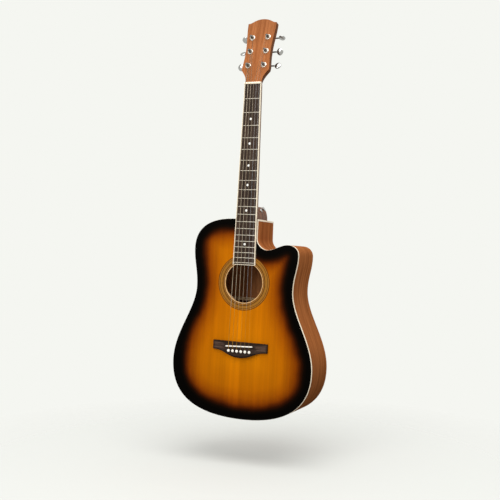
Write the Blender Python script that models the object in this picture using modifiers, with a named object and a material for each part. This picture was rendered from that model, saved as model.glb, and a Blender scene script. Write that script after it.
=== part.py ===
"""Cutaway steel-string acoustic guitar, standing upright, one object for each piece.

Pieces are drawn in the guitar's own frame: u towards the treble side, v along the neck from the nut's
face, w out of the soundboard. An empty stands that frame up, so that v is +Z and w is -Y. The headstock
has a frame of its own, tilted back: x as u, s along the headstock's face, n out of that face.
"""
from math import acos, atan2, cos, pi, radians, sin, tan

import bmesh
import bpy
from mathutils import Matrix, Vector

MM = 0.001
GAP = 0.3 * MM  # glue line, seat or running clearance between two pieces
WELD = 0.0005 * MM
OVERCUT = 2 * MM  # how far a cutter runs past the face that it opens
CREASE = radians(35)  # edges sharper than this aren't shaded smooth

# Scale and strings
SCALE_LENGTH = 635 * MM
FRETS = 20
BASS_COMPENSATION = 4.5 * MM
TREBLE_COMPENSATION = 2.0 * MM
STRING_DIAMETERS = [d * MM for d in (1.35, 1.07, 0.81, 0.61, 0.41, 0.30)]  # bass to treble
NUT_SPREAD = 36 * MM  # outer string to outer string
SADDLE_SPREAD = 54 * MM
PIN_SPREAD = 55 * MM
WINDING_TURNS = 2.25
WINDING_SPACE = 0.45 * MM  # between neighbouring turns
LOOP_POINTS = 16  # points on one turn
BALL_RADIUS = 2.0 * MM
WOUND_STRINGS = 4  # bass strings wrapped in bronze

# Body outline: drops are measured down from the neck joint, fullness is a curve handle over its span
JOINT_PAST_OCTAVE = 10.5 * MM  # twelfth fret to body
BODY_LENGTH = 487.5 * MM
LOWER_BOUT = 369 * MM
LOWER_BOUT_DROP = 359 * MM
WAIST = 254.5 * MM
WAIST_DROP = 170 * MM
UPPER_BOUT = 276 * MM
UPPER_BOUT_DROP = 75.5 * MM
SHOULDER_FLAT = 34.5 * MM  # straight stretch beside the centre line
CUTAWAY_CLEAR = 1.5 * MM  # fingerboard edge to cutaway wall
CUTAWAY_WALL = 45 * MM  # straight part of that wall
SCOOP_WIDE = 28.5 * MM  # cutaway wall to the scoop's lowest point
SCOOP_DROP = 74 * MM
HORN_INSET = 27.5 * MM  # widest point to the horn's highest point
HORN_DROP = 59.5 * MM
HORN_SIDE_DROP = 85 * MM
TAIL_FULLNESS = (0.61, 0.72)
LOWER_FULLNESS = (0.38, 0.31)
UPPER_FULLNESS = (0.42, 0.37)
SHOULDER_FULLNESS = (0.63, 0.68)
HORN_FULLNESS = (0.56, 0.64)
SCOOP_FULLNESS = (0.37, 0.35)
WALL_FULLNESS = (0.31, 0.69)
CURVE_STEPS = 8  # points on a long outline curve
BEND_STEPS = 5

# Body shell
DEPTH_AT_NECK = 104 * MM
DEPTH_AT_TAIL = 121 * MM
TOP_THICK = 2.8 * MM
BACK_THICK = 2.8 * MM
SIDE_THICK = 2.2 * MM
BINDING_WIDE = 2.2 * MM
BINDING_TALL = 6.0 * MM
LINING_WIDE = 6.0 * MM
LINING_TALL = 14.0 * MM
BOARD_OVER_HOLE = 6 * MM  # fingerboard's end past the hole's edge
HOLE_RADIUS = 49 * MM
HOLE_STEPS = 32
ROSETTE_MARGIN = 2 * MM  # hole's edge to the rosette
ROSETTE_WIDE = 17 * MM
ROSETTE_DEEP = 1.2 * MM
NECK_BLOCK_LEFT = 45 * MM
NECK_BLOCK_LONG = 58 * MM
TAIL_BLOCK_HALF = 36 * MM
TAIL_BLOCK_LONG = 22 * MM

# Braces
BRACE_WIDE = 8 * MM
BRACE_TALL = 13 * MM
X_BELOW_HOLE = 24.5 * MM  # hole's edge to the crossing of the X
X_BRACE_ANGLE = radians(48.5)
TONE_BARS = 2  # evenly along the rest of the X's treble leg
TONE_BAR_RISE = 9.5 * MM  # first tone bar's start above the bridge plate's lower edge
TONE_BAR_ANGLE = radians(25)  # below level
UPPER_BRACE_ABOVE_HOLE = 12.5 * MM
BACK_BRACE_DROPS = (100 * MM, 200 * MM, 340 * MM)
PLATE_LEG_CLEAR = 14 * MM  # bridge plate's ends to the legs of the X
PLATE_LONG = 34 * MM
PLATE_THICK = 2.5 * MM

# Bridge, saddle and pins
BRIDGE_HALF = 72 * MM
BRIDGE_WING = 22 * MM
BRIDGE_BELLY = 16.5 * MM
BRIDGE_THICK = 8 * MM
BRIDGE_TIP_THICK = 4.5 * MM
BRIDGE_MIDDLE = 46 * MM  # half length at full thickness
BELLY_FULLNESS = (0.5, 0.45)
SADDLE_SETBACK = 10.5 * MM  # bridge front edge to saddle
SADDLE_HALF = 35.5 * MM
SADDLE_THICK = 3 * MM
SADDLE_DEEP = 4.5 * MM
SADDLE_PROUD = 3.2 * MM
SADDLE_ROUND = 0.9 * MM
PIN_SETBACK = 12 * MM  # saddle to pins
PIN_RADIUS = 2.5 * MM
PIN_TIP_RADIUS = 2.1 * MM
PIN_HEAD_RADIUS = 3.6 * MM
PIN_HEAD_TALL = 3.0 * MM
PIN_LONG = 22 * MM
PIN_STEPS = 10
KEYHOLE_STEPS = 9

# Neck and fingerboard
NUT_WIDTH = 43 * MM
NUT_LONG = 5 * MM
NUT_TALL = 9.2 * MM
BOARD_END_WIDTH = 57.7 * MM
BOARD_TAIL = 5.5 * MM  # past the last fret
BOARD_THICK = 6 * MM
BOARD_BINDING = 1.6 * MM
FRET_WIDE = 2.2 * MM
FRET_TALL = 1.1 * MM
STRING_OVER_FRETS = 0.5 * MM  # at the nut
NECK_DEEP_NUT = 20.5 * MM
NECK_DEEP_HEEL = 23 * MM
HEEL_DEEP = 94 * MM
HEEL_LONG = 34 * MM
HEEL_FILLET = 10 * MM
HEEL_CAP_WIDTH = 31 * MM
TENON_HALF = 12 * MM
TENON_LONG = 25 * MM
TENON_BOTTOM = 66 * MM
ROD_START = 14 * MM
ROD_RADIUS = 2.4 * MM
ROD_NUT_RADIUS = 3.2 * MM
ROD_NUT_LONG = 12 * MM
ROD_END_WALL = 6 * MM
SHAFT_STEPS = 14  # facets round the neck's back
HEEL_STEPS = 12

# Headstock outline: along s from its foot
HEAD_ANGLE = radians(14)
HEAD_STEP = 2.5 * MM  # face above the neck's top plane, just behind the nut
HEAD_THICK = 16 * MM
HEAD_CROWN = 10.7 * MM  # crest above the corners
HEAD_TOP_WIDTH = 76 * MM
HEAD_WAIST_WIDTH = 66.5 * MM
HEAD_SHOULDER_WIDTH = 73 * MM
CORNER_PAST_POST = 39.5 * MM  # last post to the corners
SHOULDER_BEFORE_POST = 11.9 * MM  # shoulders to the first post
FLARE_FULLNESS = (0.45, 0.5, 0.68)
NARROWING_FULLNESS = (0.25, 0.5)
WIDENING_FULLNESS = (0.4, 0.4)
CROWN_FULLNESS = (0.35, 0.62)
VOLUTE_LONG = 42 * MM
VOLUTE_STEPS = 4
NECK_LAP = 1.5 * MM  # neck's run-out below the headstock's face and inside its edges

# Tuning machines: a out of the headstock's edge, b along s, n out of its face
POST_OUT = 20.8 * MM
FIRST_POST = 44.5 * MM
POST_PITCH = 37.7 * MM
POSTS_PER_SIDE = 3
POST_RADIUS = 3 * MM
POST_WAIST_RADIUS = 2.5 * MM
POST_WAIST_LOW = 4.6 * MM
POST_TALL = 11.6 * MM
POST_CAP = 1.4 * MM
POST_LIP = 0.6 * MM
POST_STEPS = 12
BUSH_RADIUS = 4.7 * MM
BUSH_DEEP = 8 * MM
WASHER_RADIUS = 7 * MM
WASHER_THICK = 1.2 * MM
HEX_FLATS = 10.4 * MM
HEX_TALL = 2.6 * MM
GEAR_TEETH = 14
GEAR_MODULE = 0.65 * MM
GEAR_FACE = 4.4 * MM
WORM_RADIUS = 2.3 * MM  # at the pitch line
WORM_TURNS = 2.5
WORM_SLICES = 4  # sections to a turn
MESH_PLAY = 0.1 * MM
PRESSURE_ANGLE = radians(20)
TOOTH_SHARE = 0.34  # of the pitch, for thread and tooth alike
ADDENDUM = 0.45 * MM
DEDENDUM = 0.6 * MM
WORM_BEHIND = 5.2 * MM  # worm axis behind the headstock's back
SHAFT_RADIUS = 1.9 * MM
HOUSING_HALF = 7 * MM
HOUSING_WALL = 1.2 * MM
HOUSING_DEEP = 11 * MM
HOUSING_CORNER = 2 * MM
CORNER_STEPS = 2
BUTTON_CLEAR = 3.8 * MM  # headstock's edge to the button
BUTTON_LONG = 16 * MM
BUTTON_WIDE = 18 * MM
BUTTON_THICK = 6.6 * MM
BUTTON_NECK_RADIUS = 2.7 * MM
BUTTON_NECK_LONG = 1 * MM
BUTTON_STEPS = 10
BUTTON_TURNS = [radians(d) for d in (20, -35, 55, 80, 25, -10)]  # rest angle, by string

# Strap buttons
STRAP_HEAD_RADIUS = 5.5 * MM
STRAP_NECK_RADIUS = 3.1 * MM
STRAP_BASE_RADIUS = 4.6 * MM
STRAP_TALL = 9.5 * MM
STRAP_STEM_RADIUS = 2.2 * MM
STRAP_STEM_LONG = 16 * MM
STRAP_DOWN_HEEL = 0.55  # share of the heel's depth
STRAP_ROUND_HEEL = radians(45)  # from the heel's treble side towards its nose
STRAP_STEPS = 12
PIN_DEEP_SHARE = 0.5  # end pin's place across the body's depth

# Derived places
LAST_FRET = SCALE_LENGTH * (1 - 2 ** (-FRETS / 12))
BOARD_LONG = LAST_FRET + BOARD_TAIL
BOARD_TOP = GAP + BOARD_THICK
JOINT_V = -SCALE_LENGTH / 2 - JOINT_PAST_OCTAVE
TAIL_V = JOINT_V - BODY_LENGTH
HOLE_V = BOARD_OVER_HOLE - BOARD_LONG - HOLE_RADIUS
ROSETTE_INNER = HOLE_RADIUS + ROSETTE_MARGIN
ROSETTE_OUTER = ROSETTE_INNER + ROSETTE_WIDE
SADDLE_V = -SCALE_LENGTH - (BASS_COMPENSATION + TREBLE_COMPENSATION) / 2
SADDLE_SLANT = atan2(BASS_COMPENSATION - TREBLE_COMPENSATION, SADDLE_SPREAD)
SADDLE_TOP = GAP + BRIDGE_THICK + SADDLE_PROUD
BRIDGE_V = SADDLE_V + SADDLE_SETBACK
PIN_V = SADDLE_V - PIN_SETBACK
X_MIDDLE = (0, HOLE_V - HOLE_RADIUS - X_BELOW_HOLE)
PLATE_TOP = PIN_V + PLATE_LONG / 2
PLATE_LOW = PIN_V - PLATE_LONG / 2
LEG_HALF = BRACE_WIDE / 2 / cos(X_BRACE_ANGLE)  # half a leg's width, measured level
PLATE_HALF = (X_MIDDLE[1] - PLATE_TOP) * tan(X_BRACE_ANGLE) - LEG_HALF - PLATE_LEG_CLEAR
TENON_TOP = TOP_THICK + LINING_TALL + 3 * GAP
PITCH = pi * GEAR_MODULE
GEAR_RADIUS = GEAR_TEETH * GEAR_MODULE / 2
WORM_CENTRE = GEAR_RADIUS + WORM_RADIUS + MESH_PLAY
LEAD_SLOPE = PITCH / (2 * pi * WORM_RADIUS)
HEAD_FOOT = NUT_LONG + GAP + HEAD_STEP * tan(HEAD_ANGLE)
HEAD_SHOULDER = FIRST_POST - SHOULDER_BEFORE_POST
HEAD_WAIST = FIRST_POST + POST_PITCH * (POSTS_PER_SIDE - 1) / 2
HEAD_CORNER = FIRST_POST + POST_PITCH * (POSTS_PER_SIDE - 1) + CORNER_PAST_POST
BUTTON_START = max(HEAD_TOP_WIDTH, HEAD_SHOULDER_WIDTH) / 2 + BUTTON_CLEAR
HEAD = Matrix.Translation((0, HEAD_FOOT, HEAD_STEP)) @ Matrix.Rotation(-HEAD_ANGLE, 4, "X")
HOUSING_BACK = -HEAD_THICK - GAP - HOUSING_DEEP


# Mesh helpers

def between(low, high, share):
    return low + (high - low) * share


def finished(work):
    """Mesh from a bmesh, welded and with its faces turned outwards."""
    bmesh.ops.remove_doubles(work, verts=work.verts, dist=WELD)
    bmesh.ops.recalc_face_normals(work, faces=work.faces)
    mesh = bpy.data.meshes.new("piece")
    work.to_mesh(mesh)
    work.free()
    return mesh


def evaluated(piece):
    """Mesh of an object with its modifiers or bevel applied. The object is removed."""
    bpy.context.scene.collection.objects.link(piece)
    graph = bpy.context.evaluated_depsgraph_get()
    mesh = bpy.data.meshes.new_from_object(piece.evaluated_get(graph))
    bpy.data.objects.remove(piece)
    work = bmesh.new()
    work.from_mesh(mesh)
    return finished(work)


def prism(loops, front, back):
    """Solid between two faces. Each loop is an outline of (u, v); front and back give w over (u, v)."""
    curve = bpy.data.curves.new("outline", "CURVE")
    curve.dimensions = "2D"
    curve.fill_mode = "BOTH"
    curve.extrude = 1
    curve.render_resolution_u = 0
    for loop in loops:
        spline = curve.splines.new("POLY")
        spline.points.add(len(loop) - 1)
        spline.use_cyclic_u = True
        for point, (u, v) in zip(spline.points, loop):
            point.co = (u, v, 0, 1)
    mesh = evaluated(bpy.data.objects.new("outline", curve))
    for vert in mesh.vertices:
        height = front if vert.co.z > 0 else back
        vert.co.z = height(vert.co.x, vert.co.y) if callable(height) else height
    return mesh


def turned(profile, steps):
    """Solid of revolution about z, from (radius, z) points that run from axis to axis."""
    mesh = bpy.data.meshes.new("profile")
    edges = [(i, i + 1) for i in range(len(profile) - 1)]
    mesh.from_pydata([(radius, 0, z) for radius, z in profile], edges, [])
    piece = bpy.data.objects.new("profile", mesh)
    screw = piece.modifiers.new("Screw", "SCREW")
    screw.steps = steps
    screw.render_steps = steps
    screw.use_merge_vertices = True
    screw.merge_threshold = WELD
    return evaluated(piece)


def loft(rings, tube=False):
    """Solid through rings of equally many points, capped at both ends, or closed on itself as a tube."""
    work = bmesh.new()
    rows = [[work.verts.new(point) for point in ring] for ring in rings]
    pairs = list(zip(rows, rows[1:]))
    if tube:
        pairs.append((rows[-1], rows[0]))
    else:
        work.faces.new(rows[0])
        work.faces.new(rows[-1])
    for low, high in pairs:
        for i in range(len(low)):
            j = (i + 1) % len(low)
            work.faces.new((low[i], low[j], high[j], high[i]))
    return finished(work)


def box(low, high):
    """Box between two corners."""
    low = Vector(low)
    high = Vector(high)
    work = bmesh.new()
    bmesh.ops.create_cube(work, size=1)
    bmesh.ops.scale(work, vec=high - low, verts=work.verts)
    bmesh.ops.translate(work, vec=(low + high) / 2, verts=work.verts)
    return finished(work)


def rod(start, end, radius, sides=12):
    """Cylinder between two points."""
    start = Vector(start)
    end = Vector(end)
    run = end - start
    place = Matrix.Translation((start + end) / 2) @ run.to_track_quat("Z", "Y").to_matrix().to_4x4()
    work = bmesh.new()
    bmesh.ops.create_cone(work, cap_ends=True, segments=sides, radius1=radius, radius2=radius,
                          depth=run.length, matrix=place)
    return finished(work)


def together(meshes):
    """One mesh that holds several separate bodies, for use as a cutter."""
    work = bmesh.new()
    for mesh in meshes:
        work.from_mesh(mesh)
    return finished(work)


def combined(base, tool, operation):
    """Boolean of two meshes."""
    cutter = bpy.data.objects.new("cutter", tool)
    bpy.context.scene.collection.objects.link(cutter)
    piece = bpy.data.objects.new("piece", base)
    boolean = piece.modifiers.new("Boolean", "BOOLEAN")
    boolean.operation = operation
    boolean.object = cutter
    mesh = evaluated(piece)
    bpy.data.objects.remove(cutter)
    return mesh


def cut(base, tool):
    return combined(base, tool, "DIFFERENCE")


def joined(base, tool):
    return combined(base, tool, "UNION")


def moved(mesh, place):
    mesh.transform(place)
    return mesh


# Outlines

def bezier(start, out, back, end, steps):
    """Points of a cubic curve from start up to, but not at, end."""
    points = []
    for i in range(steps):
        t = i / steps
        weights = ((1 - t) ** 3, 3 * t * (1 - t) ** 2, 3 * t * t * (1 - t), t ** 3)
        knots = (start, out, back, end)
        points.append(tuple(sum(w * knot[k] for w, knot in zip(weights, knots)) for k in (0, 1)))
    return points


def turn_curve(start, end, fullness, axes, steps):
    """Curve that leaves start along one axis and reaches end along the other, or the same, axis.

    axes names the axis at start, then the axis at end, such as "uv".
    """
    span = (end[0] - start[0], end[1] - start[1])
    unit = {"u": (1, 0), "v": (0, 1)}
    handles = []
    for point, letter, share, sign in ((start, axes[0], fullness[0], 1), (end, axes[1], fullness[1], -1)):
        handles.append(tuple(point[k] + sign * share * span[k] * unit[letter][k] for k in (0, 1)))
    return bezier(start, handles[0], handles[1], end, steps)


def body_outline():
    """Outline of the body on the soundboard plane, counter-clockwise from the tail."""
    tail = (0, TAIL_V)
    lower = (LOWER_BOUT / 2, JOINT_V - LOWER_BOUT_DROP)
    waist = (WAIST / 2, JOINT_V - WAIST_DROP)
    upper = (UPPER_BOUT / 2, JOINT_V - UPPER_BOUT_DROP)
    shoulder = (SHOULDER_FLAT, JOINT_V)
    half = turn_curve(tail, lower, TAIL_FULLNESS, "uv", CURVE_STEPS)
    half += turn_curve(lower, waist, LOWER_FULLNESS, "vv", CURVE_STEPS)
    bass = half + turn_curve(waist, upper, UPPER_FULLNESS, "vv", BEND_STEPS)
    bass += turn_curve(upper, shoulder, SHOULDER_FULLNESS, "vu", CURVE_STEPS)
    bass.append(shoulder)

    wall = board_width(JOINT_V) / 2 + CUTAWAY_CLEAR
    horn_side = (UPPER_BOUT / 2, JOINT_V - HORN_SIDE_DROP)
    horn = (UPPER_BOUT / 2 - HORN_INSET, JOINT_V - HORN_DROP)
    scoop = (wall + SCOOP_WIDE, JOINT_V - SCOOP_DROP)
    foot = (wall, JOINT_V - CUTAWAY_WALL)
    treble = half + turn_curve(waist, horn_side, UPPER_FULLNESS, "vv", BEND_STEPS)
    treble += turn_curve(horn_side, horn, HORN_FULLNESS, "vu", BEND_STEPS)
    treble += turn_curve(horn, scoop, SCOOP_FULLNESS, "uu", BEND_STEPS)
    treble += turn_curve(scoop, foot, WALL_FULLNESS, "uv", BEND_STEPS)
    treble += [foot, (wall, JOINT_V)]
    return treble + [(-u, v) for u, v in reversed(bass[1:])]


def board_width(v):
    return between(NUT_WIDTH, BOARD_END_WIDTH, -v / BOARD_LONG)


def inset(loop, distance):
    """Outline moved inwards by a distance, with square corners kept square."""
    points = []
    for i, (u, v) in enumerate(loop):
        before = Vector((u, v)) - Vector(loop[i - 1])
        after = Vector(loop[(i + 1) % len(loop)]) - Vector((u, v))
        before.normalize()
        after.normalize()
        inward = Vector((-before.y - after.y, before.x + after.x))
        inward *= 2 / inward.length_squared
        points.append((u + distance * inward.x, v + distance * inward.y))
    return points


def circle(centre, radius, steps):
    return [(centre[0] + radius * cos(2 * pi * i / steps), centre[1] + radius * sin(2 * pi * i / steps))
            for i in range(steps)]


def reach(start, angle, loop):
    """Distance from a point to an outline, along an angle from +v towards +u."""
    way = Vector((sin(angle), cos(angle)))
    found = []
    for i, here in enumerate(loop):
        edge = Vector(here) - Vector(loop[i - 1])
        gap = Vector(loop[i - 1]) - Vector(start)
        cross = way.cross(edge)
        if abs(cross) < 1e-12:
            continue
        along = gap.cross(edge) / cross
        share = gap.cross(way) / cross
        if along > 0 and 0 <= share <= 1:
            found.append(along)
    return min(found, default=BODY_LENGTH)


def bar(start, angle, near, far, wide):
    """Rectangle along a line through start, from distance near to distance far."""
    way = Vector((sin(angle), cos(angle)))
    side = Vector((way.y, -way.x)) * wide / 2
    ends = (Vector(start) + way * near, Vector(start) + way * far)
    return [tuple(p) for p in (ends[0] - side, ends[0] + side, ends[1] + side, ends[1] - side)]


OUTLINE = body_outline()


def back_face(u, v):
    return -between(DEPTH_AT_NECK, DEPTH_AT_TAIL, (JOINT_V - v) / BODY_LENGTH)


def back_inside(u, v):
    return back_face(u, v) + BACK_THICK + GAP


TOP_INSIDE = -TOP_THICK - GAP


# Body shell

def keyhole(k):
    """Hole for one bridge pin with its string slot, which runs towards the saddle."""
    u = string_place(k, PIN_SPREAD)
    radius = PIN_RADIUS + GAP
    half = STRING_DIAMETERS[k] / 2 + GAP
    open_angle = acos(half / radius)
    length = slot_offset(k) + half
    sweep = pi + 2 * open_angle
    angles = [pi - open_angle + sweep * i / KEYHOLE_STEPS for i in range(KEYHOLE_STEPS + 1)]
    loop = [(u + radius * cos(a), PIN_V + radius * sin(a)) for a in angles]
    return loop + [(u + half, PIN_V + length), (u - half, PIN_V + length)]


def slot_offset(k):
    """String's middle in front of its pin's axis, just clear of the pin's head."""
    return PIN_HEAD_RADIUS + GAP + STRING_DIAMETERS[k] / 2


def string_place(k, spread):
    return spread * (k / (len(STRING_DIAMETERS) - 1) - 0.5)


def pin_holes():
    return [keyhole(k) for k in range(len(STRING_DIAMETERS))]


def soundboard():
    hole = circle((0, HOLE_V), HOLE_RADIUS, HOLE_STEPS)
    plate = prism([inset(OUTLINE, BINDING_WIDE + GAP), hole] + pin_holes(), 0, -TOP_THICK)
    return cut(plate, prism(rosette_loops(GAP), OVERCUT, -ROSETTE_DEEP - GAP))


def rosette_loops(clearance):
    return [circle((0, HOLE_V), radius, HOLE_STEPS)
            for radius in (ROSETTE_OUTER + clearance, ROSETTE_INNER - clearance)]


def rosette():
    return prism(rosette_loops(0), 0, -ROSETTE_DEEP)


def top_binding():
    return prism([OUTLINE, inset(OUTLINE, BINDING_WIDE)], 0, -BINDING_TALL)


def sides():
    wall = prism([OUTLINE, inset(OUTLINE, SIDE_THICK)], -BINDING_TALL - GAP, back_inside)
    return cut(wall, together([tenon(GAP), end_pin_hole()]))


def back():
    return prism([OUTLINE], lambda u, v: back_face(u, v) + BACK_THICK, back_face)


def lining_loops():
    return [inset(OUTLINE, SIDE_THICK + GAP), inset(OUTLINE, SIDE_THICK + GAP + LINING_WIDE)]


def top_lining():
    return prism(lining_loops(), TOP_INSIDE, TOP_INSIDE - LINING_TALL)


def back_lining():
    return prism(lining_loops(), lambda u, v: back_inside(u, v) + LINING_TALL, back_inside)


def block(left, right, low, high):
    """Block inside the sides, notched where the linings pass behind it."""
    core_loop = inset(OUTLINE, SIDE_THICK + LINING_WIDE + 2 * GAP)
    pad_loop = inset(OUTLINE, SIDE_THICK + GAP)
    core = prism([core_loop], TOP_INSIDE, back_inside)
    pad = prism([pad_loop], TOP_INSIDE - LINING_TALL - GAP,
                lambda u, v: back_inside(u, v) + LINING_TALL + GAP)
    reach_back = -max(DEPTH_AT_NECK, DEPTH_AT_TAIL) - OVERCUT
    halves = []
    for solid in (core, pad):
        window = box((left, low, reach_back), (right, high, OVERCUT))
        halves.append(combined(solid, window, "INTERSECT"))
    return joined(halves[0], halves[1])


def neck_block():
    solid = block(-NECK_BLOCK_LEFT, board_width(JOINT_V), JOINT_V - NECK_BLOCK_LONG, JOINT_V)
    return cut(solid, tenon(GAP))


def tail_block():
    solid = block(-TAIL_BLOCK_HALF, TAIL_BLOCK_HALF, TAIL_V - GAP, TAIL_V + TAIL_BLOCK_LONG)
    return cut(solid, end_pin_hole())


def around_tail_block():
    """Outline that braces keep out of."""
    half = TAIL_BLOCK_HALF + BRACE_WIDE
    top = TAIL_V + TAIL_BLOCK_LONG + BRACE_WIDE
    return [(-half, TAIL_V), (half, TAIL_V), (half, top), (-half, top)]


# Braces

def brace_room():
    return inset(OUTLINE, SIDE_THICK + LINING_WIDE + 3 * GAP + BRACE_WIDE / 2)


def top_bar(start, angle, near, far):
    return prism([bar(start, angle, near, far, BRACE_WIDE)], TOP_INSIDE, TOP_INSIDE - BRACE_TALL)


def x_brace():
    room = brace_room()
    legs = []
    for angle in (X_BRACE_ANGLE, -X_BRACE_ANGLE):
        down = reach(X_MIDDLE, angle + pi, room)
        up = reach(X_MIDDLE, angle, room)
        legs.append(top_bar(X_MIDDLE, angle, -down, up))
    frame = joined(legs[0], legs[1])
    leg_way = pi - X_BRACE_ANGLE
    bar_way = -pi / 2 - TONE_BAR_ANGLE
    first = (PLATE_LOW + TONE_BAR_RISE - X_MIDDLE[1]) / cos(leg_way)
    leg_long = reach(X_MIDDLE, leg_way, room)
    for i in range(TONE_BARS):
        start = between(first, leg_long, i / TONE_BARS)
        foot = (X_MIDDLE[0] + start * sin(leg_way), X_MIDDLE[1] + start * cos(leg_way))
        far = min(reach(foot, bar_way, room), reach(foot, bar_way, around_tail_block()))
        frame = joined(frame, top_bar(foot, bar_way, 0, far))
    return frame


def cross_bar(v):
    """Straight brace across the body at a height."""
    room = brace_room()
    return bar((0, v), pi / 2, -reach((0, v), -pi / 2, room), reach((0, v), pi / 2, room), BRACE_WIDE)


def upper_brace():
    level = HOLE_V + HOLE_RADIUS + UPPER_BRACE_ABOVE_HOLE
    return prism([cross_bar(level)], TOP_INSIDE, TOP_INSIDE - BRACE_TALL)


def back_brace(drop):
    return prism([cross_bar(JOINT_V - drop)], lambda u, v: back_inside(u, v) + BRACE_TALL, back_inside)


def bridge_plate():
    half = PLATE_HALF
    plate = [(-half, PLATE_LOW), (half, PLATE_LOW), (half, PLATE_TOP), (-half, PLATE_TOP)]
    return prism([plate] + pin_holes(), TOP_INSIDE, TOP_INSIDE - PLATE_THICK)


# Bridge, saddle and pins

def saddle_frame():
    return Matrix.Translation((0, SADDLE_V, 0)) @ Matrix.Rotation(SADDLE_SLANT, 4, "Z")


def bridge():
    wing = BRIDGE_V - BRIDGE_WING
    belly = turn_curve((-BRIDGE_HALF, wing), (0, wing - BRIDGE_BELLY), BELLY_FULLNESS, "uu", CURVE_STEPS)
    loop = belly + [(0, wing - BRIDGE_BELLY)] + [(-u, v) for u, v in reversed(belly)]
    loop += [(BRIDGE_HALF, BRIDGE_V), (-BRIDGE_HALF, BRIDGE_V)]
    top = GAP + BRIDGE_THICK
    solid = prism([loop] + pin_holes(), top, GAP)
    slope = atan2(BRIDGE_THICK - BRIDGE_TIP_THICK, BRIDGE_HALF - BRIDGE_MIDDLE)
    tools = []
    for side in (1, -1):
        wedge = mirrored(box((0, -BRIDGE_HALF, 0), (BRIDGE_HALF, BRIDGE_HALF, BRIDGE_THICK)), side)
        tilt = Matrix.Rotation(side * slope, 4, "Y")
        tools.append(moved(wedge, Matrix.Translation((side * BRIDGE_MIDDLE, BRIDGE_V, top)) @ tilt))
    slot_half = SADDLE_HALF + GAP
    slot_side = SADDLE_THICK / 2 + GAP
    slot = box((-slot_half, -slot_side, top - SADDLE_DEEP - GAP), (slot_half, slot_side, top + OVERCUT))
    tools.append(moved(slot, saddle_frame()))
    return cut(solid, together(tools))


def saddle():
    top = SADDLE_TOP
    low = GAP + BRIDGE_THICK - SADDLE_DEEP
    half = SADDLE_THICK / 2
    drop = SADDLE_ROUND
    profile = [(-half, low), (half, low), (half, top - drop), (half - drop / 2, top - drop / 4), (0, top),
               (drop / 2 - half, top - drop / 4), (-half, top - drop)]
    rings = [[(u, v, w) for v, w in profile] for u in (-SADDLE_HALF, SADDLE_HALF)]
    return moved(loft(rings), saddle_frame())


def bridge_pin(k):
    seat = 2 * GAP + BRIDGE_THICK
    dome = [(0, 1), (0.6, 0.87), (1, 0.45), (0.9, 0)]
    profile = [(PIN_HEAD_RADIUS * out, seat + PIN_HEAD_TALL * up) for out, up in dome]
    profile += [(PIN_RADIUS, seat), (PIN_TIP_RADIUS, seat - PIN_LONG), (0, seat - PIN_LONG)]
    place = Matrix.Translation((string_place(k, PIN_SPREAD), PIN_V, 0))
    return moved(turned(profile, PIN_STEPS), place)


# Neck

def tenon(clearance):
    half = TENON_HALF + clearance
    return box((-half, JOINT_V - TENON_LONG - clearance, -TENON_BOTTOM - clearance),
               (half, JOINT_V + HEEL_LONG / 2, -TENON_TOP + clearance))


def neck_shaft():
    """Shaft from the body to a smooth run-out under the headstock."""
    butt = JOINT_V + GAP
    stations = [(butt, 0, NECK_DEEP_HEEL, board_width(JOINT_V) / 2)]
    stations.append((0, 0, NECK_DEEP_NUT, NUT_WIDTH / 2))
    for i in range(VOLUTE_STEPS + 1):
        v = HEAD_FOOT + VOLUTE_LONG * i / VOLUTE_STEPS
        face = HEAD_STEP - (v - HEAD_FOOT) * tan(HEAD_ANGLE)
        top = min(0, face - NECK_LAP)
        merged = HEAD_THICK / cos(HEAD_ANGLE) - face - NECK_LAP
        bottom = between(NECK_DEEP_NUT, merged, (i / VOLUTE_STEPS) ** 2)
        stations.append((v, top, bottom, NUT_WIDTH / 2 - NECK_LAP * (i > 0)))
    rings = []
    for v, top, bottom, half in stations:
        angles = [pi * k / SHAFT_STEPS for k in range(SHAFT_STEPS + 1)]
        rings.append([(half * cos(a), v, top - (bottom + top) * sin(a)) for a in angles])
    return loft(rings)


def heel_half(deep):
    return between(board_width(JOINT_V) / 2 - GAP, HEEL_CAP_WIDTH / 2, deep / HEEL_DEEP)


def heel_button_frame():
    """Place of the strap button on the heel's treble flank, with z out of the wood."""
    deep = HEEL_DEEP * STRAP_DOWN_HEEL
    half = heel_half(deep)
    narrowing = (heel_half(0) - heel_half(HEEL_DEEP)) / HEEL_DEEP
    across = cos(STRAP_ROUND_HEEL)
    along = sin(STRAP_ROUND_HEEL)
    out = Vector((across / half, along / HEEL_LONG, -narrowing * across ** 2 / half)).normalized()
    foot = Vector((half * across, JOINT_V + GAP + HEEL_LONG * along, -deep)) + GAP * out
    return Matrix.Translation(foot) @ out.to_track_quat("Z", "X").to_matrix().to_4x4()


def heel():
    """Heel: a nose that narrows towards its cap, with a fillet under the shaft."""
    butt = JOINT_V + GAP
    depths = [NECK_DEEP_HEEL / 6, NECK_DEEP_HEEL]
    depths += [NECK_DEEP_HEEL + HEEL_FILLET * share for share in (0.25, 0.55, 1)]
    depths += [HEEL_DEEP]
    rings = []
    for deep in depths:
        rise = max(0, 1 - max(0, deep - NECK_DEEP_HEEL) / HEEL_FILLET)
        length = HEEL_LONG + HEEL_FILLET * rise ** 2
        half = heel_half(deep)
        angles = [pi * k / HEEL_STEPS for k in range(HEEL_STEPS + 1)]
        rings.append([(half * cos(a), butt + length * sin(a), -deep) for a in angles])
    return loft(rings)


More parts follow.
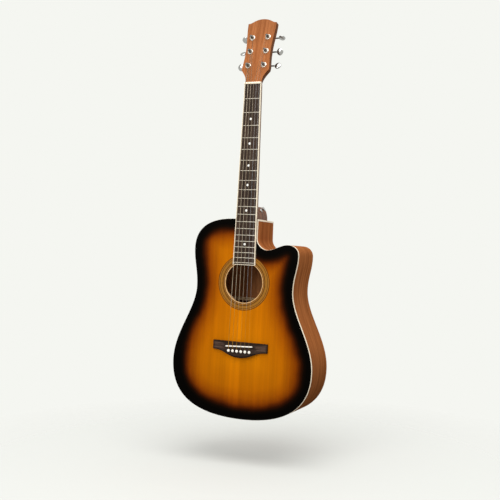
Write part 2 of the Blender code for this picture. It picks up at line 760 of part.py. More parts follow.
def headstock_outline():
    foot = (NUT_WIDTH / 2, 0)
    shoulder = (HEAD_SHOULDER_WIDTH / 2, HEAD_SHOULDER)
    waist = (HEAD_WAIST_WIDTH / 2, HEAD_WAIST)
    corner = (HEAD_TOP_WIDTH / 2, HEAD_CORNER)
    crest = (0, HEAD_CORNER + HEAD_CROWN)
    leave, flare, arrive = FLARE_FULLNESS
    half = bezier(foot, (foot[0], HEAD_SHOULDER * leave),
                  (between(foot[0], shoulder[0], flare), HEAD_SHOULDER * arrive), shoulder, BEND_STEPS)
    half += turn_curve(shoulder, waist, NARROWING_FULLNESS, "vv", BEND_STEPS)
    half += turn_curve(waist, corner, WIDENING_FULLNESS, "vv", BEND_STEPS)
    half += turn_curve(corner, crest, CROWN_FULLNESS, "uu", BEND_STEPS)
    return half + [crest] + [(-u, v) for u, v in reversed(half)]


def post_places():
    """Side of the headstock, and place along it, for each string from bass to treble."""
    heights = [FIRST_POST + POST_PITCH * i for i in range(POSTS_PER_SIDE)]
    return [(-1, s) for s in heights] + [(1, s) for s in reversed(heights)]


def neck():
    slab = moved(prism([headstock_outline()], 0, -HEAD_THICK), HEAD)
    solid = joined(joined(neck_shaft(), heel()), slab)
    solid = joined(solid, tenon(0))
    holes = []
    for side, s in post_places():
        ends = [(side * POST_OUT, s, n) for n in (OVERCUT, -HEAD_THICK - OVERCUT)]
        holes.append(moved(rod(ends[0], ends[1], BUSH_RADIUS + GAP), HEAD))
    side = ROD_NUT_RADIUS + GAP
    holes.append(box((-side, JOINT_V + ROD_END_WALL, -2 * side), (side, -ROD_START, side)))
    stem = rod((0, 0, OVERCUT), (0, 0, -STRAP_STEM_LONG), STRAP_STEM_RADIUS + GAP)
    holes.append(moved(stem, heel_button_frame()))
    return cut(solid, together(holes))


def truss_rod():
    """Rod with an anchor at the nut end and a hexagonal adjuster at the heel end."""
    top = -ROD_START - GAP
    low = JOINT_V + ROD_END_WALL + GAP
    profile = [(0, top), (ROD_NUT_RADIUS, top), (ROD_NUT_RADIUS, top - ROD_NUT_LONG),
               (ROD_RADIUS, top - ROD_NUT_LONG), (ROD_RADIUS, low + ROD_NUT_LONG),
               (ROD_NUT_RADIUS, low + ROD_NUT_LONG), (ROD_NUT_RADIUS, low), (0, low)]
    stand = Matrix.Translation((0, 0, -ROD_NUT_RADIUS - GAP)) @ Matrix.Rotation(-pi / 2, 4, "X")
    return moved(turned(profile, 6), stand)


def fret_place(n):
    return -SCALE_LENGTH * (1 - 2 ** (-n / 12))


def fingerboard():
    """Board with its frets, as one long side profile given the board's tapering width."""
    end = -BOARD_LONG + BOARD_BINDING + GAP
    profile = [(end, GAP), (-GAP, GAP), (-GAP, BOARD_TOP)]
    crown = BOARD_TOP + FRET_TALL
    foot = FRET_WIDE / 2
    flat = FRET_WIDE / 4
    for n in range(1, FRETS + 1):
        v = fret_place(n)
        profile += [(v + foot, BOARD_TOP), (v + flat, crown), (v - flat, crown), (v - foot, BOARD_TOP)]
    profile.append((end, BOARD_TOP))
    mesh = prism([profile], 1, -1)
    for vert in mesh.vertices:
        v, w, side = vert.co
        vert.co = (side * (board_width(v) / 2 - BOARD_BINDING - GAP), v, w)
    work = bmesh.new()
    work.from_mesh(mesh)
    return finished(work)


def fingerboard_binding():
    """Strip along both edges and round the end of the fingerboard."""
    near = -GAP
    far = -BOARD_LONG
    outer = [board_width(v) / 2 for v in (near, far)]
    inner = [half - BOARD_BINDING for half in outer]
    stop = far + BOARD_BINDING
    loop = [(outer[0], near), (inner[0], near), (inner[1], stop), (-inner[1], stop), (-inner[0], near),
            (-outer[0], near), (-outer[1], far), (outer[1], far)]
    return prism([loop], BOARD_TOP, GAP)


def nut_height(k):
    """String's middle over the nut."""
    return BOARD_TOP + FRET_TALL + STRING_OVER_FRETS + STRING_DIAMETERS[k] / 2


def nut():
    solid = box((-NUT_WIDTH / 2, 0, GAP), (NUT_WIDTH / 2, NUT_LONG, NUT_TALL))
    slots = []
    for k, diameter in enumerate(STRING_DIAMETERS):
        here = Vector((string_place(k, NUT_SPREAD), 0, nut_height(k)))
        way = winding_start(k) - here
        half = diameter / 2 + GAP
        slot = box((-half, -2 * NUT_LONG, -half), (half, 2 * NUT_LONG, NUT_TALL))
        turn = Matrix.Rotation(atan2(-way.x, way.y), 4, "Z") @ Matrix.Rotation(atan2(way.z, way.y), 4, "X")
        slots.append(moved(slot, Matrix.Translation(here) @ turn))
    return cut(solid, together(slots))


# Strings

def winding_radius(k):
    return POST_WAIST_RADIUS + GAP + STRING_DIAMETERS[k] / 2


def winding_low(k):
    return POST_WAIST_LOW + GAP + STRING_DIAMETERS[k] / 2


def winding(k):
    """Turns round the post, from where the string first meets it, in the guitar's frame."""
    side, s = post_places()[k]
    centre = Vector((side * POST_OUT, s))
    foot = HEAD.inverted() @ Vector((string_place(k, NUT_SPREAD), 0, nut_height(k)))
    away = Vector((foot.x, foot.y)) - centre
    radius = winding_radius(k)
    start = atan2(away.y, away.x) - side * acos(radius / away.length)
    rise = STRING_DIAMETERS[k] + WINDING_SPACE
    points = []
    for i in range(int(LOOP_POINTS * WINDING_TURNS) + 1):
        turn = i / LOOP_POINTS
        angle = start - side * 2 * pi * turn
        height = winding_low(k) + rise * turn
        points.append(HEAD @ Vector((centre.x + radius * cos(angle), centre.y + radius * sin(angle), height)))
    return points


def winding_start(k):
    return winding(k)[0]


def string_path(k):
    """Points and radii of one string from its ball end to its last turn."""
    radius = STRING_DIAMETERS[k] / 2
    u = string_place(k, PIN_SPREAD)
    v = PIN_V + slot_offset(k)
    seat = TOP_INSIDE - PLATE_THICK - GAP
    ball = [(0.95, 0.2), (0.6, 0.85), (0, 1), (-0.6, 0.85), (-0.95, 0.2)]
    path = []
    for along, share in reversed(ball):
        path.append((Vector((u, v, seat - BALL_RADIUS * (1 - along))), max(radius, BALL_RADIUS * share)))
    path.append((Vector((u, v, seat + GAP)), radius))
    path.append((Vector((u, v, 2 * GAP + BRIDGE_THICK + radius)), radius))
    across = string_place(k, SADDLE_SPREAD)
    path.append((Vector((across, SADDLE_V + across * tan(SADDLE_SLANT), SADDLE_TOP + GAP + radius)), radius))
    path.append((Vector((string_place(k, NUT_SPREAD), 0, nut_height(k))), radius))
    return path + [(point, radius) for point in winding(k)]


def string(k):
    curve = bpy.data.curves.new("string", "CURVE")
    curve.dimensions = "3D"
    curve.bevel_depth = MM
    curve.bevel_resolution = 1
    curve.render_resolution_u = 0
    curve.use_fill_caps = True
    path = string_path(k)
    spline = curve.splines.new("POLY")
    spline.points.add(len(path) - 1)
    for knot, (point, radius) in zip(spline.points, path):
        knot.co = (*point, 1)
        knot.radius = radius / MM
    return evaluated(bpy.data.objects.new("string", curve))


def least_gap(k):
    """Least space between points of a winding that are half a turn or more apart."""
    points = winding(k)
    nearest = min((a - b).length for i, a in enumerate(points) for b in points[i + LOOP_POINTS // 2:])
    return nearest - STRING_DIAMETERS[k]


# Tuning machines

def gear():
    """Gear for the worm, with its teeth slanted to the thread's lead."""
    loop = []
    thick = PITCH * TOOTH_SHARE
    for tooth in range(GEAR_TEETH):
        middle = pi / 2 + 2 * pi * (tooth + 0.5) / GEAR_TEETH
        low = GEAR_RADIUS - DEDENDUM
        high = GEAR_RADIUS + ADDENDUM
        slope = tan(PRESSURE_ANGLE)
        root = (thick / 2 + DEDENDUM * slope) / low
        tip = (thick / 2 - ADDENDUM * slope) / high
        for radius, turn in ((low, -root), (high, -tip), (high, tip), (low, root)):
            loop.append((radius * cos(middle + turn), radius * sin(middle + turn)))
    level = -HEAD_THICK - WORM_BEHIND
    mesh = prism([loop], level + GEAR_FACE / 2, level - GEAR_FACE / 2)
    for vert in mesh.vertices:
        turn = (vert.co.z - level) * LEAD_SLOPE / GEAR_RADIUS
        vert.co = Matrix.Rotation(turn, 3, "Z") @ vert.co
    return mesh


def mirrored(mesh, side):
    """Mesh for one side of the headstock: as drawn on the treble side, mirrored on the bass side."""
    mesh.transform(Matrix.Diagonal((side, 1, 1, 1)))
    work = bmesh.new()
    work.from_mesh(mesh)
    return finished(work)


def tuner_post(side):
    low = HOUSING_BACK + HOUSING_WALL + GAP
    level = -HEAD_THICK - WORM_BEHIND
    cap = POST_TALL - POST_CAP
    profile = [(0, POST_TALL), (POST_RADIUS - POST_LIP, POST_TALL), (POST_RADIUS, POST_TALL - POST_LIP),
               (POST_RADIUS, cap), (POST_WAIST_RADIUS, cap - POST_LIP), (POST_WAIST_RADIUS, POST_WAIST_LOW),
               (POST_RADIUS, POST_WAIST_LOW - POST_LIP), (POST_RADIUS, level), (POST_WAIST_RADIUS, level),
               (POST_WAIST_RADIUS, low), (0, low)]
    return mirrored(joined(turned(profile, POST_STEPS), gear()), side)


def tuner_bushing():
    """Threaded bushing with a washer and a hexagonal head."""
    bore = POST_RADIUS + GAP

    def ring(n, radius, corner_radius=None):
        points = []
        for i in range(POST_STEPS):
            angle = 2 * pi * i / POST_STEPS
            size = radius if i % 2 else corner_radius or radius
            points.append((size * cos(angle), size * sin(angle), n))
        return points

    washer = GAP + WASHER_THICK
    top = washer + HEX_TALL
    hexagon = (HEX_FLATS / 2, HEX_FLATS / 2 / cos(pi / 6))
    rings = [ring(-BUSH_DEEP, BUSH_RADIUS), ring(GAP, BUSH_RADIUS), ring(GAP, WASHER_RADIUS),
             ring(washer, WASHER_RADIUS), ring(washer, *hexagon), ring(top, *hexagon), ring(top, bore),
             ring(-BUSH_DEEP, bore)]
    return loft(rings, tube=True)


def rounded_box(left, right, low, high, corner):
    loop = []
    corners = ((right - corner, low + corner, -pi / 2), (right - corner, high - corner, 0),
               (left + corner, high - corner, pi / 2), (left + corner, low + corner, pi))
    for u, v, start in corners:
        for i in range(CORNER_STEPS + 1):
            angle = start + pi / 2 * i / CORNER_STEPS
            loop.append((u + corner * cos(angle), v + corner * sin(angle)))
    return loop


def tuner_housing():
    """Cover for the gears, open against the headstock, bored for the worm shaft."""
    low = -GEAR_RADIUS - ADDENDUM - GAP - HOUSING_WALL
    high = WORM_CENTRE + WORM_RADIUS + DEDENDUM + GAP + HOUSING_WALL
    front = -HEAD_THICK - GAP
    wall = HOUSING_WALL
    half = HOUSING_HALF
    shell = prism([rounded_box(-half, half, low, high, HOUSING_CORNER)], front, HOUSING_BACK)
    room = rounded_box(wall - half, half - wall, low + wall, high - wall, HOUSING_CORNER - wall / 2)
    shell = cut(shell, prism([room], front + wall, HOUSING_BACK + wall))
    ends = [(a, WORM_CENTRE, -HEAD_THICK - WORM_BEHIND) for a in (-half - OVERCUT, half + OVERCUT)]
    return cut(shell, rod(ends[0], ends[1], SHAFT_RADIUS + GAP))


def thread_height(a, angle):
    """Radius of the worm at a place along its axis and an angle round it."""
    root = WORM_RADIUS - ADDENDUM - MESH_PLAY
    tip = WORM_RADIUS + ADDENDUM
    turn = (a / PITCH + 0.5 - angle / (2 * pi)) % 1
    off = min(turn, 1 - turn) * PITCH
    middle = PITCH * TOOTH_SHARE / 2
    flank = (tip - root) * tan(PRESSURE_ANGLE)
    share = (middle + flank / 2 - off) / flank
    return between(root, tip, min(1, max(0, share)))


def tuner_button(side, rest_turn):
    """Worm shaft with its button, drawn along +x from the middle of the worm."""
    angles = [2 * pi * i / BUTTON_STEPS for i in range(BUTTON_STEPS)]

    def round_ring(a, radius):
        return [(a, radius * cos(t), radius * sin(t)) for t in angles]

    def blade_ring(a, wide, thick):
        points = []
        for t in angles:
            across = wide * cos(t)
            over = thick * sin(t)
            points.append((a, across * cos(rest_turn) - over * sin(rest_turn),
                           across * sin(rest_turn) + over * cos(rest_turn)))
        return points

    inside = HOUSING_HALF - HOUSING_WALL - GAP
    collar = WORM_RADIUS
    half_thread = WORM_TURNS * PITCH / 2
    slices = int(WORM_TURNS * WORM_SLICES)
    rings = [round_ring(-HOUSING_HALF + GAP, SHAFT_RADIUS), round_ring(-inside, SHAFT_RADIUS)]
    rings += [round_ring(-inside, collar), round_ring(-half_thread - GAP, collar)]
    for i in range(slices + 1):
        a = between(-half_thread, half_thread, i / slices)
        rings.append([(a, thread_height(a, t) * cos(t), thread_height(a, t) * sin(t)) for t in angles])
    rings += [round_ring(half_thread + GAP, collar), round_ring(inside, collar)]
    rings += [round_ring(inside, SHAFT_RADIUS)]
    start = BUTTON_START - POST_OUT
    rings += [round_ring(start - BUTTON_NECK_LONG, SHAFT_RADIUS), round_ring(start, BUTTON_NECK_RADIUS)]
    for share in (0.1, 0.25, 0.45, 0.65, 0.82, 0.94, 1):
        swell = sin(pi * (0.08 + 0.84 * share)) ** 0.55
        a = start + BUTTON_LONG * share
        rings.append(blade_ring(a, BUTTON_WIDE / 2 * swell, BUTTON_THICK / 2 * swell))
    return mirrored(loft(rings), side)


# Strap buttons

def strap_profile(stem_long):
    """Strap button seen along its axis, head first, with its base at z = 0."""
    return [(0, STRAP_TALL), (STRAP_HEAD_RADIUS * 0.8, STRAP_TALL), (STRAP_HEAD_RADIUS, STRAP_TALL * 0.88),
            (STRAP_HEAD_RADIUS, STRAP_TALL * 0.76), (STRAP_NECK_RADIUS, STRAP_TALL * 0.5),
            (STRAP_BASE_RADIUS, 0), (STRAP_STEM_RADIUS, 0), (STRAP_STEM_RADIUS, -stem_long), (0, -stem_long)]


def heel_button():
    return moved(turned(strap_profile(STRAP_STEM_LONG - 2 * GAP), STRAP_STEPS), heel_button_frame())


def end_pin_level():
    return back_face(0, TAIL_V) * PIN_DEEP_SHARE


def end_pin_hole():
    level = end_pin_level()
    return rod((0, TAIL_V - STRAP_TALL, level), (0, TAIL_V + STRAP_STEM_LONG, level), STRAP_STEM_RADIUS + GAP)


def end_pin():
    place = Matrix.Translation((0, TAIL_V - GAP, end_pin_level())) @ Matrix.Rotation(pi / 2, 4, "X")
    return moved(turned(strap_profile(STRAP_STEM_LONG - 2 * GAP), STRAP_STEPS), place)


# Assembly

def material(name, colour, roughness, metallic=0.0):
    made = bpy.data.materials.new(name)
    made.use_nodes = True
    shader = made.node_tree.nodes["Principled BSDF"]
    shader.inputs["Base Color"].default_value = (*colour, 1)
    shader.inputs["Roughness"].default_value = roughness
    shader.inputs["Metallic"].default_value = metallic
    return made


def main():
    for old in list(bpy.data.objects):
        bpy.data.objects.remove(old)
    parts = bpy.data.collections.new("acoustic_guitar")
    bpy.context.scene.collection.children.link(parts)

    amber = material("burst_spruce", (0.60, 0.22, 0.02), 0.2)
    mahogany = material("mahogany", (0.27, 0.09, 0.035), 0.25)
    neck_wood = material("neck_wood", (0.50, 0.17, 0.05), 0.3)
    rosewood = material("rosewood", (0.06, 0.022, 0.012), 0.45)
    bare_wood = material("bare_wood", (0.55, 0.36, 0.18), 0.7)
    cream = material("cream_plastic", (0.85, 0.76, 0.55), 0.35)
    inlay = material("rosette_inlay", (0.30, 0.20, 0.08), 0.4)
    chrome = material("chrome", (0.8, 0.8, 0.82), 0.12, 1.0)
    steel = material("plain_steel", (0.62, 0.62, 0.64), 0.3, 1.0)
    bronze = material("wound_bronze", (0.55, 0.36, 0.18), 0.4, 1.0)

    upright = bpy.data.objects.new("guitar_frame", None)
    upright.rotation_euler = (pi / 2, 0, 0)
    parts.objects.link(upright)
    head_frame = bpy.data.objects.new("headstock_frame", None)
    head_frame.matrix_world = HEAD
    head_frame.parent = upright
    parts.objects.link(head_frame)

    def add(name, mesh, finish, parent=upright, place=(0, 0, 0)):
        mesh.name = name
        mesh.materials.clear()
        mesh.materials.append(finish)
        mesh.shade_smooth()
        mesh.set_sharp_from_angle(angle=CREASE)
        piece = bpy.data.objects.new(name, mesh)
        piece.parent = parent
        piece.location = place
        parts.objects.link(piece)

    add("soundboard", soundboard(), amber)
    add("rosette", rosette(), inlay)
    add("top_binding", top_binding(), cream)
    add("sides", sides(), mahogany)
    add("back", back(), mahogany)
    add("top_lining", top_lining(), bare_wood)
    add("back_lining", back_lining(), bare_wood)
    add("neck_block", neck_block(), bare_wood)
    add("tail_block", tail_block(), bare_wood)
    add("x_brace", x_brace(), bare_wood)
    add("upper_brace", upper_brace(), bare_wood)
    for name, drop in zip(("upper", "middle", "lower"), BACK_BRACE_DROPS):
        add("back_brace_" + name, back_brace(drop), bare_wood)
    add("bridge_plate", bridge_plate(), bare_wood)
    add("bridge", bridge(), rosewood)
    add("saddle", saddle(), cream)
    add("neck", neck(), neck_wood)
    add("truss_rod", truss_rod(), steel)
    add("fingerboard", fingerboard(), rosewood)
    add("fingerboard_binding", fingerboard_binding(), cream)
    add("nut", nut(), cream)
    add("heel_strap_button", heel_button(), chrome)
    add("end_pin", end_pin(), chrome)

    count = len(STRING_DIAMETERS)
    for k, (side, s) in enumerate(post_places()):
        number = str(count - k)
        post = (side * POST_OUT, s, 0)
        worm = (side * POST_OUT, s + WORM_CENTRE, -HEAD_THICK - WORM_BEHIND)
        add("bridge_pin_" + number, bridge_pin(k), cream)
        add("string_" + number, string(k), bronze if k < WOUND_STRINGS else steel)
        add("tuner_housing_" + number, mirrored(tuner_housing(), side), chrome, head_frame, post)
        add("tuner_bushing_" + number, tuner_bushing(), chrome, head_frame, post)
        add("tuner_post_" + number, tuner_post(side), chrome, head_frame, post)
        add("tuner_button_" + number, tuner_button(side, BUTTON_TURNS[k]), chrome, head_frame, worm)
        print("string", number, "least gap between turns, mm:", round(least_gap(k) / MM, 2))


main()
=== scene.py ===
"""Looks of a cutaway steel-string acoustic guitar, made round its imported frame.

Pieces are drawn in the guitar's own frame: u towards the treble side, v along the neck from the nut's
face, w out of the soundboard. UPRIGHT stands that frame up, so that v is +Z and w is -Y. The headstock
has a frame of its own, tilted back: x as u, s along the headstock's face, n out of that face.
"""

from math import acos, atan2, copysign, cos, pi, radians, sin, sqrt, tan

import bmesh
import bpy
import numpy as np
from mathutils import Matrix, Vector
from mathutils.geometry import delaunay_2d_cdt


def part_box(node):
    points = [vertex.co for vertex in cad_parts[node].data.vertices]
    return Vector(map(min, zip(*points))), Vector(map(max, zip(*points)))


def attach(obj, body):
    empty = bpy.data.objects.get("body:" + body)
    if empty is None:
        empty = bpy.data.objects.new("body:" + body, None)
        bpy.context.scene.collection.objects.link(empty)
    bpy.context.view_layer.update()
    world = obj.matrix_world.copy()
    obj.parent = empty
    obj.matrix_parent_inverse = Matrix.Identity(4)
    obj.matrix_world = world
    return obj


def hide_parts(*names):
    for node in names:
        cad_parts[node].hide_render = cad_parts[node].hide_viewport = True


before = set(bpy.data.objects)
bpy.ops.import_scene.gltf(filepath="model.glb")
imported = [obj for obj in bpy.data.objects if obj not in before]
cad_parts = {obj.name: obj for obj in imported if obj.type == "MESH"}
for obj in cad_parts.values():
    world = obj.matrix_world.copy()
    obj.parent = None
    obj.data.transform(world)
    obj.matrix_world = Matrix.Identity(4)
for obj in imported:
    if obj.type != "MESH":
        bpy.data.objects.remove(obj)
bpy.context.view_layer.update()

MM = 0.001
GAP = 0.3 * MM
WELD = 0.0005 * MM
CREASE = radians(32)  # edges sharper than this aren't shaded smooth
EASE = 0.3  # where the middle of a small rounding lies, as a share of it
ROUNDING_ROWS = (0.04, 0.16, 0.4, 1)  # rows of points on a plate's rounded edge, as shares of its width
BEVEL_SEGMENTS = 3
CURVE_STEPS = 24
CIRCLE_STEPS = 128
TURN_STEPS = 48
SMALL_TURN_STEPS = 32
CORNER_STEPS = 6
CROWN_STEPS = 10
BACK_STEPS = 40
UPRIGHT = Matrix.Rotation(pi / 2, 4, "X")

# Photograph's view
EYE = (0.7922, -1.7796, -0.4152)
EYE_RIGHT = (0.91492, 0.40058, 0.04955)
EYE_UP = (-0.04295, -0.02545, 0.99875)
LENS = 57.6
SENSOR = 36

# Places taken from the frame
BODY_LOW, BODY_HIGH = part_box("top_binding")
ROSETTE_LOW, ROSETTE_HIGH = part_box("rosette")
JOINT_V = BODY_HIGH.z
TAIL_V = BODY_LOW.z
LOWER_BOUT = BODY_HIGH.x - BODY_LOW.x
BINDING_TALL = BODY_HIGH.y - BODY_LOW.y
BODY_LENGTH = JOINT_V - TAIL_V
HOLE_V = (ROSETTE_LOW.z + ROSETTE_HIGH.z) / 2
ROSETTE_OUTER = ROSETTE_HIGH.x
BOARD_LONG = -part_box("fingerboard_binding")[0].z
BOARD_TOP = -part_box("fingerboard_binding")[0].y
BOARD_END_WIDTH = 2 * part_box("fingerboard_binding")[1].x
NUT_WIDTH = 2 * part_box("nut")[1].x
NUT_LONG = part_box("nut")[1].z
NUT_TALL = -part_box("nut")[0].y
BRIDGE_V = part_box("bridge")[1].z
BRIDGE_LOW_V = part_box("bridge")[0].z
BRIDGE_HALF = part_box("bridge")[1].x

# Scale and strings
SCALE_LENGTH = 635 * MM
FRETS = 20
BASS_COMPENSATION = 4.5 * MM
TREBLE_COMPENSATION = 2.0 * MM
STRING_DIAMETERS = [d * MM for d in (1.35, 1.07, 0.81, 0.61, 0.41, 0.30)]  # bass to treble
STRINGS = len(STRING_DIAMETERS)
WOUND_STRINGS = 4
NUT_SPREAD = 36 * MM
SADDLE_SPREAD = 54 * MM
PIN_SPREAD = 55 * MM
WINDING_TURNS = 2.25
WINDING_SPACE = 0.45 * MM
LOOP_POINTS = 40  # on one turn round a post
PLATE_THICK = 2.5 * MM  # bridge plate that the balls bear on
BALL_RADIUS = 2.0 * MM
BALL_CUT = 0.06  # share of the ball's half turn left out at each end
BALL_STEPS = 8
BRIDGE_BEND = 1.5 * MM
NUT_BEND = 1.0 * MM
BEND_STEPS = 4
TUBE_SIDES = 12
SPAN_POINTS = (0.25, 0.5, 0.75)  # along a string's free length

# Body outline: drops are measured down from the neck joint, fullness is a curve handle over its span
LOWER_BOUT_DROP = 359 * MM
WAIST = 254.5 * MM
WAIST_DROP = 170 * MM
UPPER_BOUT = 276 * MM
UPPER_BOUT_DROP = 75.5 * MM
SHOULDER_FLAT = 34.5 * MM
CUTAWAY_CLEAR = 1.5 * MM
CUTAWAY_WALL = 45 * MM
SCOOP_WIDE = 28.5 * MM
SCOOP_DROP = 74 * MM
HORN_INSET = 27.5 * MM
HORN_DROP = 59.5 * MM
HORN_SIDE_DROP = 85 * MM
TAIL_FULLNESS = (0.61, 0.72)
LOWER_FULLNESS = (0.38, 0.31)
UPPER_FULLNESS = (0.42, 0.37)
SHOULDER_FULLNESS = (0.63, 0.68)
HORN_FULLNESS = (0.56, 0.64)
SCOOP_FULLNESS = (0.37, 0.35)
WALL_FULLNESS = (0.31, 0.69)

# Body shell
DEPTH_AT_NECK = 104 * MM
DEPTH_AT_TAIL = 121 * MM
TOP_THICK = 2.8 * MM
BACK_THICK = 2.8 * MM
SIDE_THICK = 2.2 * MM
BINDING_WIDE = 2.2 * MM
BINDING_ROUND = 0.9 * MM
BACK_ROUND = 1.5 * MM
HOLE_RADIUS = 49 * MM
HOLE_RING_WIDE = 2.2 * MM
HOLE_RING_ROUND = 0.4 * MM
ROSETTE_ROUND = 0.05 * MM
CORNER_STRIP = 4 * MM  # cream strip down the cutaway's corner
STRIP_PROUD = 0.15 * MM
STRIP_ROUND = 0.1 * MM
TOP_SPACING = 6 * MM
BACK_SPACING = 20 * MM
UP_COSINE = 0.8  # of the most that a face leans and still counts as facing up
AWAY_COSINE = 0.5  # of the least that a face leans to be left without the top's finish

# Bridge, saddle and pins
BRIDGE_WING = 22 * MM
BRIDGE_THICK = 8 * MM
BRIDGE_TIP_THICK = 4.5 * MM
BRIDGE_MIDDLE = 40 * MM
BRIDGE_SCOOP = 12 * MM  # where the middle runs down to the wings
BRIDGE_ROUND = 1.0 * MM
BRIDGE_SPACING = 2.5 * MM
BELLY_FULLNESS = (0.5, 0.45)
KEYHOLE_STEPS = 16
SADDLE_HALF = 35.5 * MM
SADDLE_THICK = 3 * MM
SADDLE_TIP = 0.1 * MM  # least half thickness, at the saddle's ends
SADDLE_DEEP = 4.5 * MM
SADDLE_PROUD = 3.2 * MM
PIN_SETBACK = 12 * MM
PIN_RADIUS = 2.5 * MM
PIN_TIP_RADIUS = 2.1 * MM
PIN_HEAD_RADIUS = 3.6 * MM
PIN_HEAD_TALL = 3.0 * MM
PIN_RIM = 0.35  # share of the head's height below its dome
PIN_UNDERCUT = ((0.94, 0.12), (0.8, 0))  # under the rim, as shares of the head's radius and height
PIN_DOME_STEPS = 8
PIN_LONG = 22 * MM

# Neck and fingerboard
BOARD_BINDING = 1.3 * MM
BOARD_BINDING_ROUND = 0.3 * MM
BOARD_SPACING = 40 * MM
BOARD_BINDING_SPACING = 60 * MM
FRET_WIDE = 1.9 * MM
FRET_TALL = 1.1 * MM
FRET_BEVEL = 0.6 * MM
FRET_END = 0.1  # share of a fret's height that is left at its ends
STRING_OVER_FRETS = 0.5 * MM
DOT_FRETS = (3, 5, 7, 9, 12, 17)
DOT_RADIUS = 2.9 * MM
DOT_TOP = 0.9  # share of the radius that is flat
DOT_PROUD = 0.06 * MM
DOT_DEEP = 1 * MM
NUT_ROUND = 1.2 * MM
NUT_CORNER = 0.8 * MM
NUT_SLOT_CLEAR = 0.1 * MM
NUT_SLOT_STEPS = 4
NUT_ROWS = (0, 0.06, 0.2, 0.5, 0.8, 0.94, 1)  # sections, as shares of the nut's length
NECK_DEEP_NUT = 20.5 * MM
NECK_DEEP_HEEL = 23 * MM
NECK_STEPS = 16
NECK_FLAT_STEPS = 12
HEEL_DEEP = 94 * MM
HEEL_LONG = 34 * MM
HEEL_FILLET = 10 * MM
HEEL_CAP_WIDTH = 31 * MM
HEEL_ROUND = 2 * MM
HEEL_INSIDE = (1 / 6, 0.9)  # sections inside the shaft, as shares of its depth
HEEL_STEPS = 10
HEEL_ROUND_ANGLES = (0.5, 1.0, pi / 2)

# Headstock outline: along s from its foot
HEAD_ANGLE = radians(14)
HEAD_STEP = 2.5 * MM
HEAD_THICK = 16 * MM
HEAD_CROWN = 10.7 * MM
HEAD_CREST = 0.4 * MM  # half the width of the last section, at the crest
HEAD_TOP_WIDTH = 76 * MM
HEAD_WAIST_WIDTH = 66.5 * MM
HEAD_SHOULDER_WIDTH = 73 * MM
CORNER_PAST_POST = 39.5 * MM
SHOULDER_BEFORE_POST = 11.9 * MM
FLARE_FULLNESS = (0.45, 0.5, 0.68)
NARROWING_FULLNESS = (0.25, 0.5)
WIDENING_FULLNESS = (0.4, 0.4)
CROWN_FULLNESS = (0.35, 0.62)
VOLUTE_LONG = 42 * MM
VOLUTE_SQUARING = 0.8  # power by which the section turns square along the volute
HEAD_ROUND = 0.8 * MM
HEAD_SQUARE = 0.12  # power of a square section's curve, where a round one has 1
HEAD_CURVE_STEPS = 16

# Tuning machines: a out of the headstock's edge, b along s, n out of its face
POST_OUT = 20.8 * MM
FIRST_POST = 44.5 * MM
POST_PITCH = 37.7 * MM
POSTS_PER_SIDE = 3
POST_RADIUS = 3 * MM
POST_WAIST_RADIUS = 2.5 * MM
POST_WAIST_LOW = 4.6 * MM
BUSH_RADIUS = 4.7 * MM
BUSH_DEEP = 8 * MM
BORE_CHAMFER = 0.4 * MM
WASHER_RADIUS = 7 * MM
WASHER_THICK = 1.2 * MM
WASHER_RIM = 0.4 * MM
WASHER_DOME = ((0.9 * MM, 0.1 * MM), (1.6 * MM, 0))  # inwards from the rim, and down from the top
HEX_FLATS = 10.4 * MM
HEX_TALL = 2.6 * MM
HEX_SUNK = 0.05 * MM
HEX_CHAMFER = 0.5 * MM
WORM_CENTRE = 6.95 * MM
WORM_BEHIND = 5.2 * MM
WORM_RADIUS = 2.3 * MM
SHAFT_RADIUS = 1.9 * MM
HOUSING_HALF = 7 * MM
HOUSING_WALL = 1.2 * MM
HOUSING_DEEP = 11 * MM
HOUSING_LOW = -6.5 * MM
HOUSING_HIGH = 11.35 * MM
HOUSING_CORNER = 2.6 * MM
HOUSING_ROUND = 1.6 * MM
HOUSING_SPACING = 3 * MM
TAB_RADIUS = 3.2 * MM
TAB_REACH = 10 * MM
TAB_THICK = 1.4 * MM
TAB_ROUND = 0.5 * MM
TAB_LAP = 0.5 * MM
TAB_STEPS = 16
SCREW_RADIUS = 2.1 * MM
LUG_SCREW_TALL = 0.9 * MM
COVER_SCREW_TALL = 0.54 * MM
SCREW_SLOT = 0.7 * MM
SCREW_SUNK = 0.3 * MM
SLOT_FLOOR = (0.35, 0.9)  # slot's floor, as a share of the head's height and at most of the dome's there
SCREW_CUT = 0.06  # share of the head's half turn left out at each end
SCREW_STEPS = (14, 4)  # along the slot, and across each side of it
BUTTON_CLEAR = 3.8 * MM
BUTTON_LONG = 16 * MM
BUTTON_WIDE = 18 * MM
BUTTON_THICK = 6.6 * MM
BUTTON_ROOT = 0.08  # how far round its half turn the swell starts
BUTTON_FULLNESS = 0.55
BUTTON_NECK_RADIUS = 2.7 * MM
BUTTON_NECK_LONG = 1 * MM
BUTTON_RINGS = 18
BUTTON_SIDES = 40
BUTTON_TURNS = [radians(d) for d in (20, -35, 55, 80, 25, -10)]

# Strap buttons
STRAP_HEAD_RADIUS = 5.5 * MM
STRAP_NECK_RADIUS = 3.1 * MM
STRAP_BASE_RADIUS = 4.6 * MM
STRAP_TALL = 9.5 * MM
STRAP_BRIM = 1.14 * MM
STRAP_SINK = ((0, 0.9 * MM), (1.9 * MM, 0.9 * MM), (2.3 * MM, 0.2 * MM))  # radius and depth, in the head
STRAP_WAIST = 0.45  # share of the way from head to base where it is narrowest
STRAP_FLARES = (2.72, 3.4)  # how fast it widens above and below its waist
STRAP_STEPS = 8
STRAP_STEM_RADIUS = 2.2 * MM
STRAP_STEM_LONG = 15.4 * MM
STRAP_DOWN_HEEL = 0.55  # share of the heel's depth
STRAP_ROUND_HEEL = radians(45)  # from the heel's treble side towards its nose
END_PIN_DOWN = 0.5  # share of the tail's depth

